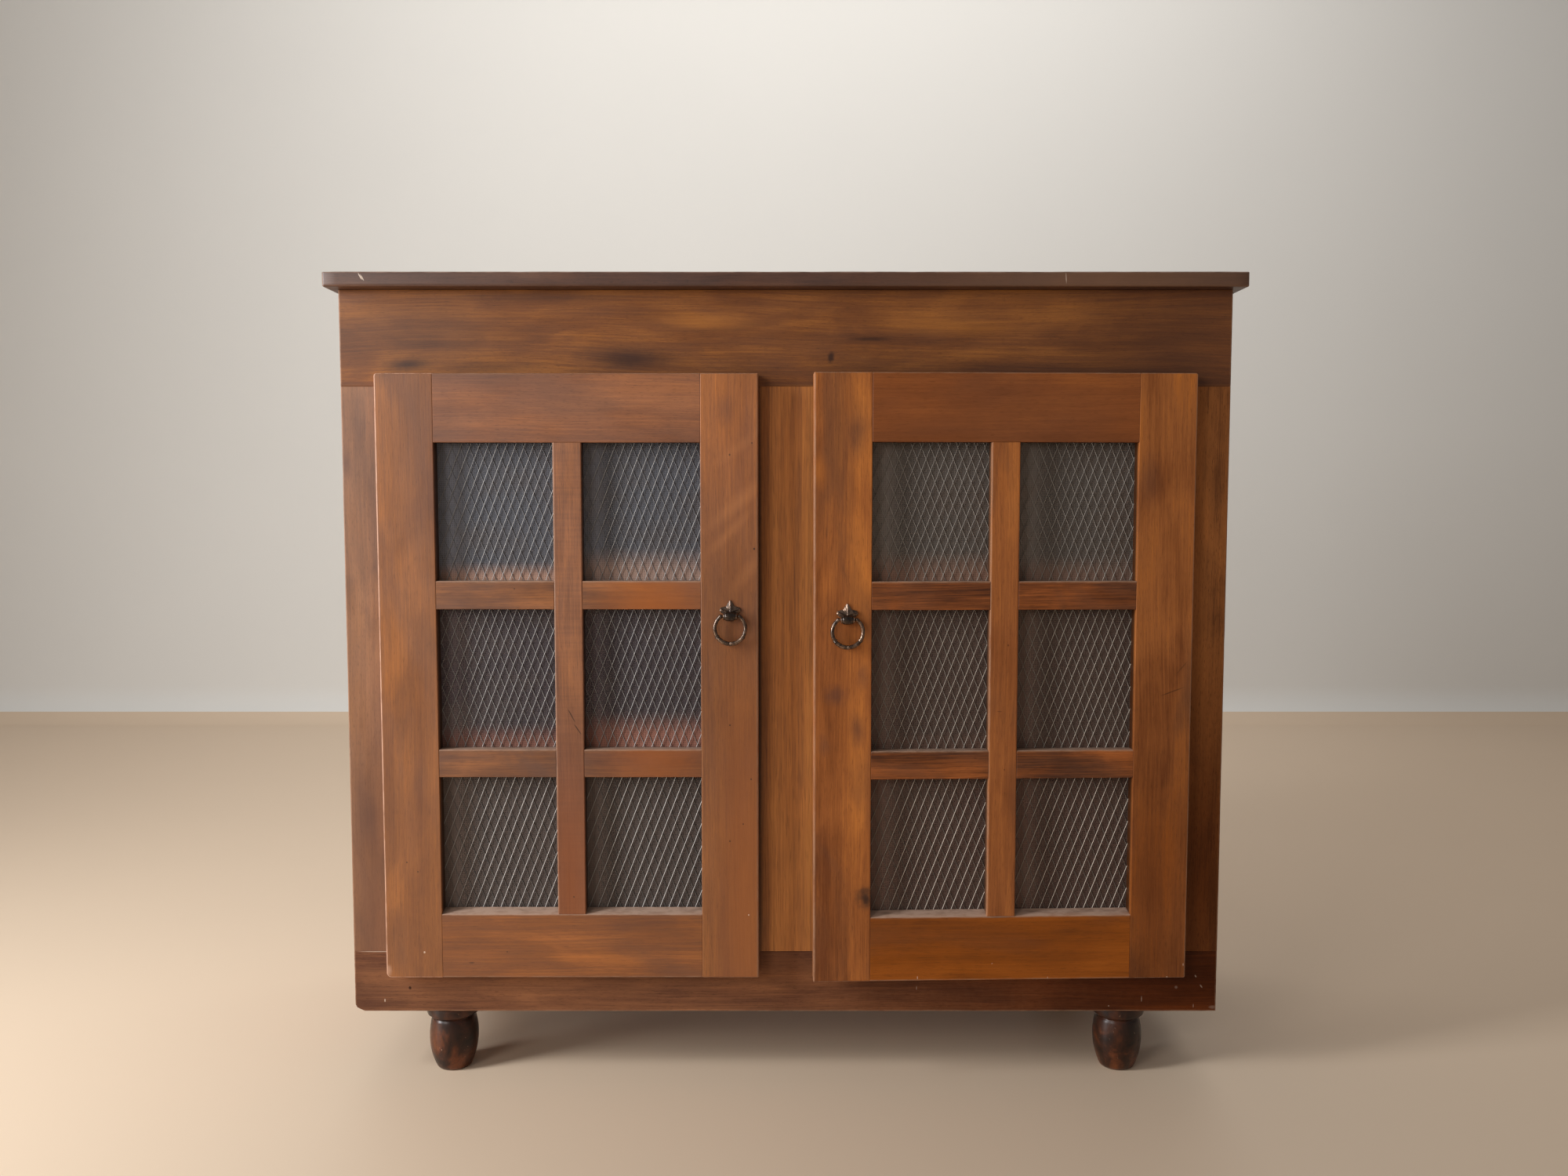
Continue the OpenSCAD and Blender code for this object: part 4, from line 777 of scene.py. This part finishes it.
def strands(falling, y, width, thick, tilt, seed):
    rng = random.Random(seed)
    bm = bmesh.new()
    out = Vector((0, -1, 0))
    c, s = math.cos(tilt), math.sin(tilt)
    for (x0, z0), (x1, z1) in strand_lines():
        if falling:
            x0, x1 = SHEET_W - x0, SHEET_W - x1
        a = Vector((SHEET_X + x0, y, SHEET_Z + z0))
        b = Vector((SHEET_X + x1, y, SHEET_Z + z1))
        across = (b - a).normalized().cross(-out).normalized()
        if across.x > 0:
            across = -across
        u, v = across * c - out * s, across * s + out * c
        count = max(2, round((z1 - z0) / (DIAMOND_H / 2)))
        phase = rng.uniform(-0.06, 0.06)
        rings = []
        for i in range(count + 1):
            p = a.lerp(b, i / count)
            size = 1.0 + phase + 0.05 * math.sin(i * 2.1 + seed) + rng.uniform(-0.04, 0.04)
            rings.append([bm.verts.new(p + u * (math.cos(f) * width / 2 * size) + v * (math.sin(f) * thick / 2))
                          for f in turns(6)])
        skin(bm, rings)
    return face_out(bm)


def gauze_sheet():
    """The cloth behind the mesh: two wavy faces, joined round the rim."""
    nx, nz, wave = 24, 40, 0.16
    bm = bmesh.new()
    rims = []
    for y, back in ((GAUZE_FRONT, False), (GAUZE_BACK, True)):
        grid = []
        for k in range(nz + 1):
            grid.append([])
            for i in range(nx + 1):
                push = wave * noise.noise(Vector((i * 0.7, k * 0.45, 3.0))) if 0 < i < nx and 0 < k < nz else 0
                spot = (SHEET_X + SHEET_W * i / nx, y + push, SHEET_Z + SHEET_H * k / nz)
                grid[-1].append(bm.verts.new(spot))
        for low, high in zip(grid, grid[1:]):
            for i in range(nx):
                quad = (low[i], low[i + 1], high[i + 1], high[i])
                bm.faces.new(reversed(quad) if back else quad)
        rims.append(grid[0] + [r[-1] for r in grid[1:]] + grid[-1][-2::-1] + [r[0] for r in grid[-2:0:-1]])
    skin(bm, rims, caps=())
    return face_out(bm)


# Edges that stand before the mesh, each with its X and how far the painted shade beside it reaches
SHADES = {"left": ((-0.431, 0.026), (-0.2505, 0.018)), "right": ((0.105, 0.022), (0.2855, 0.020))}


def metal(name, bright, dull, rough, metallic, grime, size=300.0, lift=0.00008, coat=0.0, lit=(), shade=()):
    """Bright metal under dull grime. Lit gives zones of painted light, each with another tint: low, high, tint."""
    bright, dull = srgb(*bright), srgb(*dull)
    t = Tree(name)
    at = t.place()
    parts = t.parts(at)
    cloud = t.noise(at, (size, size), 3, 0.6)
    colour = t.mix(t.step(cloud, 0.35, 0.65, 0, grime), bright, dull)
    colour = t.mix(t.step(t.noise(at, (22, 22)), 0.42, 0.66, 0, grime * 0.6), colour, dull)
    for low, high, tint in lit:
        colour = t.mix(t.band(parts["Z"], (low - 0.03, low), (high, high + 0.03)), colour, srgb(*tint))
    # Painted shadow: strands darker beside the stile and the muntin, where those edges shade them
    for x, reach in shade:
        share = t.band(parts["X"], (x - 0.01, x - 0.005), (x + reach * 0.7, x + reach * 2), 0.6)
        colour = t.mix(share, colour, dim(dull, 0.75))
    colour = t.mix(t.times(t.attribute("boss"), 0.75), colour, dim(dull, 0.3))
    return t.surface(Base_Color=colour, Roughness=t.step(cloud, 0.3, 0.7, rough - 0.08, rough + 0.14),
                     Metallic=metallic, Normal=t.bump(cloud, lift, 0.6), Coat_Weight=coat, Coat_Roughness=0.16)


def wire(name, bright, dull, lit, shade=()):
    return metal(name, bright, dull, rough=0.55, metallic=0.35, grime=0.4, lift=0.00001, lit=lit, shade=shade)


# The sheet's height in three rows of panes
LOW, MIDDLE, HIGH = (0.10, 0.41), (0.44, 0.63), (0.66, 0.9)
# Painted light: rising strands get a brighter material than falling ones, and each row of panes its own tint, for
# how the window's light catches them
wires = {
    ("left", "rising"): wire("wire_bright", (188, 185, 182), (150, 146, 142), [(*LOW, (216, 211, 206))],
                             SHADES["left"]),
    ("left", "falling"): wire("wire_dim", (116, 112, 109), (94, 90, 87),
                              [(*MIDDLE, (158, 154, 152)), (*HIGH, (134, 132, 134))]),
    ("right", "rising"): wire("wire_right", (184, 172, 158), (144, 133, 121),
                              [(*LOW, (210, 197, 183)), (*HIGH, (146, 138, 130))], SHADES["right"]),
    ("right", "falling"): wire("wire_right_dim", (128, 118, 109), (104, 95, 88),
                               [(*MIDDLE, (152, 143, 134)), (*HIGH, (162, 154, 146))]),
}
iron = metal("handle_iron", (148, 120, 100), (36, 26, 22), rough=0.3, metallic=0.92, grime=0.85, size=200.0,
             lift=0.00004, coat=0.6)
steel = metal("hinge_steel", (120, 110, 98), (66, 52, 42), rough=0.42, metallic=0.9, grime=0.7)
catch = metal("catch_black", (46, 42, 40), (30, 27, 26), rough=0.5, metallic=0.2, grime=0.5)


def gauze_material(name, high, middle, low, warm, muntin_x, glow, shade):
    """Fine dark cloth, dusty, with a tone for each row of panes; a bluish top tone is a painted reflection. Glow
    gives painted light where a lit shelf shows through: the muntin's side (-1 or 1), height, reach, share and tint."""
    high, middle, low, warm = (srgb(*c) for c in (high, middle, low, warm))
    t = Tree(name)
    at = t.place()
    parts = t.parts(at)
    bands = {"Vector": at, "Scale": 120.0, "Distortion": 1.5, "Detail": 1.0, "Detail Scale": 2.0}
    weave = t.math("MAXIMUM", *(t.node("TexWave", bands, wave_type="BANDS", bands_direction=way).outputs["Fac"]
                                for way in "XZ"))
    colour = t.mix(t.step(parts["Z"], 0.425, 0.445), low, middle)
    colour = t.mix(t.step(parts["Z"], 0.60, 0.63), colour, high)
    dust = t.noise(at, (14, 14, 22), 4, 0.6)
    colour = t.mix(t.step(dust, 0.42, 0.7, 0, 0.35), colour, warm)
    # Painted light: paler beside the edges that shade the strands, lifting their cast shadow on the cloth
    for x, reach in shade:
        beside = t.band(parts["X"], (x - 0.01, x - 0.005), (x, x + reach * 2))
        colour = t.mix(beside, colour, (2.4, 2.4, 2.4), "MULTIPLY")
    # Painted light: a warm glow above each shelf, standing in for lit shelves seen through the cloth
    for side, z, reach, share, tint in glow:
        near = t.step(parts["Z"], z, z + reach, share, 0)
        near = t.times(near, t.step(parts["X"], muntin_x - 0.01 * side, muntin_x + 0.01 * side))
        near = t.times(near, t.step(parts["Z"], z - 0.004, z + 0.001))
        patch = t.step(t.noise(at, (9, 9, 30)), 0.3, 0.6, 0.75, 1)
        colour = t.mix(t.times(near, patch), colour, srgb(*tint))
    colour = t.mix(t.step(weave, 0.3, 0.9, 0.2, 0), colour, dim(low, 0.5))
    return t.surface(Base_Color=colour, Roughness=0.85, Alpha=t.step(weave, 0.35, 0.9, 0.72, 0.9),
                     Normal=t.bump(weave, 0.0003, 0.5))


UPPER, LOWER = 0.6365, 0.4270
gauze = {
    # The left door's bluish top row tone is a painted reflection of the window
    "left": gauze_material("left_gauze", (86, 87, 94), (66, 57, 60), (80, 69, 64), (88, 76, 69), -0.2675, [
        (-1, UPPER, 0.025, 0.95, (188, 146, 124)), (1, UPPER, 0.044, 1.0, (180, 146, 128)),
        (-1, LOWER, 0.032, 0.55, (166, 104, 82)), (1, LOWER, 0.048, 0.95, (168, 110, 90))], SHADES["left"]),
    "right": gauze_material("right_gauze", (92, 84, 78), (83, 66, 58), (86, 65, 56), (92, 76, 66), 0.2685, [
        (-1, UPPER, 0.040, 1.0, (152, 114, 94)), (1, UPPER, 0.036, 0.8, (146, 112, 94)),
        (-1, LOWER, 0.024, 0.42, (132, 98, 80)), (1, LOWER, 0.022, 0.25, (132, 98, 80))], SHADES["right"]),
}

# A layer of strands: its middle behind the door's face, the strands' width and thickness, seed
LAYERS = {"rising": (17.95, 0.68, 0.66, 5), "falling": (18.85, 0.63, 0.58, 6)}
for word, matrix in DOORS.items():
    mirrored = word == "right"
    tilt = math.radians(-24 if mirrored else 24)
    for way, (y, width, thick, seed) in LAYERS.items():
        bm = strands((way == "falling") != mirrored, y, width, thick, tilt, seed)
        place(f"{word}_{way}_strands", bm, f"{word}_{way}_wires", wires[word, way], matrix,
              word + "_door", 80)
    place(word + "_gauze", gauze_sheet(), word + "_fly_screen", gauze[word], matrix, word + "_door")


# Feet: turned on a lathe, varnished dark and chipped
BELLY_Z, BELLY_R, NECK_Z = 42.0, 31.0, 65.5
PEG = [(10.0, 83.6), (10.0, 118.5), (9.3, 120.4), (7.6, 122.0)]


def foot_profile():
    """Radius and height up a foot: the floor's edge, a belly of two arcs, a neck and a collar."""
    out = [(19.6, 0.0), (20.6, 0.25), (21.35, 1.0)]
    for arc, z, step, top in ((96, 2.5, 2.6, BELLY_Z), (93, BELLY_Z, 2.3, NECK_Z)):
        while z < top:
            out.append((BELLY_R - arc + math.sqrt(arc ** 2 - (z - BELLY_Z) ** 2), z))
            z += step
    return out + [(27.5, 66.3), (27.1, 66.9), (26.9, 67.5), (27.2, 68.2), (28.4, 69.3), (30.2, 70.6), (32.0, 71.8),
                  (33.1, 72.9), (33.5, 74.0), (33.5, 78.0), (33.5, 82.6), (33.3, 83.5), (32.7, 84.0)]


def lathe(bm, profile, segments, seed):
    """Turns a profile round the Z axis, a little out of round."""
    rings = []
    for r, z in profile:
        ring = []
        for f in turns(segments):
            c, s = math.cos(f), math.sin(f)
            d = r + 0.22 * noise.noise(Vector((c * 1.3, s * 1.3, z / 30 + seed * 4))) * min(1, r / 10)
            ring.append(bm.verts.new((d * c, d * s, z)))
        rings.append(ring)
    skin(bm, rings)


def foot_material():
    t = Tree("foot_varnish")
    at = t.place()
    height = t.parts(at)["Z"]
    swirl = t.noise(at, (34, 34, 26), 3, 0.55, 0.6)
    fine = t.noise(at, (260, 260, 130), 3, 0.65)
    colour = t.ramp(swirl, [(0.36, srgb(28, 12, 5)), (0.5, srgb(58, 28, 13)), (0.66, srgb(112, 58, 28))])
    upper = t.times(t.step(height, 0.034, 0.066), 0.55)
    scratch = t.noise(t.turn(at, 0.5), (420, 420, 90), 2, 0.5)
    chipped = t.step(t.noise(at, (150, 150, 110), 2, 0.4), 0.76, 0.79)
    for share, tint in ((upper, (30, 21, 20)), (t.step(fine, 0.45, 0.7, 0, 0.3), (40, 22, 15)),
                        (t.step(scratch, 0.72, 0.76, 0, 0.4), (168, 134, 108)), (chipped, (150, 112, 86)),
                        (t.step(height, 0.004, 0.0, 0, 0.6), (112, 92, 76))):
        colour = t.mix(share, colour, srgb(*tint))
    return t.surface(Base_Color=colour, Roughness=t.step(fine, 0.3, 0.7, 0.3, 0.46),
                     Normal=t.bump(chipped, -0.0004, 0.5, t.bump(swirl, 0.0009, 0.3)),
                     Specular_IOR_Level=0.2, Coat_Weight=0.34, Coat_Roughness=0.26)


varnish = foot_material()
for i, word in enumerate(("front_left", "front_right", "rear_left", "rear_right")):
    lo, hi = mm(word + "_foot")
    bm = bmesh.new()
    lathe(bm, foot_profile(), 72, i)
    lathe(bm, PEG, 32, i)
    place(word + "_turned_foot", face_out(bm), word + "_foot", varnish,
          Matrix.Translation(((lo.x + hi.x) / 2, (lo.y + hi.y) / 2, 0)))


# Handles: a leaf rosette with a barrel boss, and a ring with three collars, hung on its two balls
HANDLES = {"left": (433.4, 456.4), "right": (427.0, 453.4)}
HUB_Z, PIVOT_Y = 5.0, -7.2
RING_R, RING_GAP, RING_DROP, BALL, COLLARS = 18.8, 37.9, 14.83, 2.7, (124, 180, 236)
# The leaf's outline on its right half: an angle and the reach from the hub
LEAF = [(90, 14.6), (78, 11.6), (64, 9.4), (50, 8.7), (36, 10.6), (22, 13.2), (8, 13.4), (-4, 11.0), (-18, 8.6),
        (-48, 7.4), (-90, 7.6)]
VEINS = (90, 18, 162, -20, 200)
# The boss from its middle to one end: place along it and radius
BOSS = [(0, 6.0), (3, 5.85), (5, 5.4), (6.2, 4.8), (6.7, 3.9), (7.1, 3.9), (7.6, 4.4), (8.3, 4.3), (8.6, 3.9),
        (8.6, 2.4)]


def smooth(f):
    return f * f * (3 - 2 * f)


def leaf_reach(angle):
    """The leaf's reach from the hub at an angle in degrees."""
    a = (angle + 90) % 360 - 90
    a = 180 - a if a > 90 else a
    (a1, r1), (a0, r0) = next(pair for pair in zip(LEAF, LEAF[1:]) if pair[1][0] <= a)
    return r0 + (r1 - r0) * smooth((a - a0) / (a1 - a0))


def rosette_mesh():
    bm = bmesh.new()
    boss = bm.verts.layers.float.new("boss")
    # The leaf: domed, ridged along its veins, curled at the side lobes, with a rim down to the door
    around, out = 120, 12
    edge, dome, vein, hollow, curl = 1.5, 1.5, 0.9, 0.35, 0.6
    rings = []
    for j in range(out + 3):
        ring = []
        for k in range(around):
            angle = 360 * k / around
            f, reach = math.radians(angle), leaf_reach(angle)
            share = min(1.0, (j + 1) / (out + 1))
            near = min(abs((angle - v + 180) % 360 - 180) for v in VEINS)
            ridge = math.exp(-(near * share * reach / 14) ** 2 / 1.3)
            rise = (edge + dome * (1 - share ** 2.4) + vein * ridge * (1 - share) ** 0.4
                    - hollow * (1 - ridge) * share)
            if j > out:
                share, rise = ((1.015, 0.5), (1.0, 0.0))[j - out - 1]
            if math.cos(f) ** 2 > 0.8 and j < out:
                rise += curl * max(0, math.cos(2 * f)) * share
            reach *= share
            ring.append(bm.verts.new((reach * math.cos(f), -rise, HUB_Z + reach * math.sin(f))))
        rings.append(ring)
    centre = bm.verts.new((0, -4.3, HUB_Z))
    for k in range(around):
        bm.faces.new((centre, rings[0][(k + 1) % around], rings[0][k]))
    skin(bm, rings, caps=(-1,))
    # The boss: a fluted barrel between two collars
    rings = []
    for x, r in [(-x, r) for x, r in BOSS[:0:-1]] + BOSS:
        ring = []
        for f in turns(32):
            q = r * (1 - 0.045 * (0.5 - 0.5 * math.cos(f * 8)) if abs(x) < 6 else 1)
            ring.append(bm.verts.new((x, PIVOT_Y + q * math.cos(f), q * math.sin(f))))
            ring[-1][boss] = 1.0 if abs(x) < 6.5 else 0.0
        rings.append(ring)
    skin(bm, rings)
    return face_out(bm)


def ring_at(angle):
    """The ring's middle line at an angle in degrees, its direction there and the way outwards."""
    s, c = math.sin(math.radians(angle)), math.cos(math.radians(angle))
    return Vector((RING_R * s, PIVOT_Y, RING_R * c - RING_DROP)), Vector((c, 0, -s)), Vector((s, 0, c))


def ring_radius(angle):
    """The wire's radius: thicker below, with grooved collars between two necks."""
    r = 2.35 + 0.35 * smooth(min(1.0, max(0.0, (68 - abs(angle - 180)) / 24)))
    off = min(abs(angle - c) for c in COLLARS)
    if off < 4.5:
        return 3.05 - 0.25 * abs(math.cos(off / 4.5 * math.pi * 1.5))
    return 2.1 if off < 7 else r


def ring_ball(angle, steps):
    p, run, side = ring_at(angle)
    return [(p + run * s * BALL, run, side, max(0.25, BALL * math.sqrt(1 - s * s))) for s in steps]


def ring_mesh():
    bm = bmesh.new()
    steps = (-1, -0.97, -0.85, -0.6, -0.3, 0, 0.3, 0.55)
    stations = ring_ball(RING_GAP, steps)
    angle = RING_GAP + 9.5
    while angle < 360 - RING_GAP - 9:
        stations.append((*ring_at(angle), ring_radius(angle)))
        angle += 0.75 if min(abs(angle - c) for c in COLLARS) < 8.2 else 3.0
    stations += ring_ball(360 - RING_GAP, [-s for s in reversed(steps)])
    rings = []
    for n, (p, run, side, r) in enumerate(stations):
        ring = []
        for f in turns(16):
            c, s = math.cos(f), math.sin(f)
            q = r * (1 + 0.03 * noise.noise(Vector((n * 0.35, c * 1.5, s * 1.5))))
            ring.append(bm.verts.new(p + side * c * q + Vector((0, 1, 0)) * s * q))
        rings.append(ring)
    skin(bm, rings)
    return face_out(bm)


for word, (across, up) in HANDLES.items():
    at = DOORS[word] @ Matrix.Translation((across, 0, up))
    place(word + "_leaf_rosette", rosette_mesh(), word + "_rosette", iron, at, word + "_door", 50)
    place(word + "_handle_ring", ring_mesh(), word + "_ring", iron, at, word + "_ring", 50)

# Small hardware stays as the CAD has it
HARDWARE = (
    (steel, ("frame_hinge_leaves", "hinge_pins", "frame_hinge_screws", "left_hinge_leaves", "left_hinge_screws",
             "right_hinge_leaves", "right_hinge_screws", "left_catch_strike", "right_catch_strike")),
    (catch, ("catch_magnets",)),
    (iron, ("left_handle_nut", "right_handle_nut")),
)
for material, nodes in HARDWARE:
    for node in nodes:
        for s in NODES[node].material_slots:
            s.material = material


# Studio: a pale floor that turns up into a wall, soft light from a large source at the left
WALL_Y, CURVE, REACH, FLOOR_FACES = 2.42, 0.12, 5.0, 6


def stage_material(name, colour, rough):
    t = Tree(name)
    shade = t.noise(t.place(), (1.5, 1.5))
    colour = srgb(*colour)
    return t.surface(Base_Color=t.mix(t.step(shade, 0.3, 0.7, 0, 0.3), colour, dim(colour, 0.96)), Roughness=rough)


bm = bmesh.new()
curve = [(WALL_Y - CURVE + CURVE * math.sin(f), CURVE - CURVE * math.cos(f))
         for f in [math.pi / 2 * k / 8 for k in range(9)]]
path = [(-REACH, 0.0), (0.0, 0.0), *curve, (WALL_Y, 1.5), (WALL_Y, 3.4)]
rows = [[bm.verts.new((x, y, z)) for y, z in path] for x in (-REACH, 0.0, REACH)]
for a, b in zip(rows, rows[1:]):
    for k in range(len(path) - 1):
        face = bm.faces.new((a[k], b[k], b[k + 1], a[k + 1]))
        face.material_index = 0 if k < FLOOR_FACES else 1
mesh = to_mesh("studio", bm)
mesh.shade_smooth()
mesh.materials.append(stage_material("studio_floor", (222, 198, 172), 0.5))
mesh.materials.append(stage_material("studio_wall", (232, 230, 225), 0.8))
studio = add("studio", mesh)


def area(name, at, aim, size, power, colour):
    data = bpy.data.lights.new(name, "AREA")
    data.shape, data.size, data.size_y = "RECTANGLE", *size
    data.energy, data.color = power, colour
    o = add(name, data)
    o.location = at
    o.rotation_euler = (Vector(aim) - Vector(at)).to_track_quat("-Z", "Y").to_euler()
    o.visible_camera = False


area("window_light", (-2.1, -0.98, 1.2), (0, -0.25, 0.6), (0.5, 1.7), 62, (0.93, 0.97, 1.0))
area("front_fill", (-2.3, -3.3, 1.7), (0, 0, 0.6), (1.2, 1.3), 32, (1.0, 0.97, 0.94))
area("wall_light", (0.0, 1.1, 3.1), (-0.1, 2.4, 0.9), (3.4, 0.8), 29, (1.0, 0.99, 0.98))

world = bpy.data.worlds.new("studio_world")
world.use_nodes = True
background = world.node_tree.nodes["Background"].inputs
background["Color"].default_value, background["Strength"].default_value = (1.0, 0.96, 0.92, 1), 0.22
bpy.context.scene.world = world
bpy.context.scene.view_settings.view_transform = "Standard"

cam_data = bpy.data.cameras.new("camera")
cam_data.lens, cam_data.sensor_width, cam_data.sensor_fit = 28.0, 36.0, "HORIZONTAL"
camera = add("camera", cam_data)
camera.location = (-0.002, -1.69488, 0.729)
camera.rotation_euler = (math.radians(90 - 3.86), 0, 0)
bpy.context.scene.camera = camera
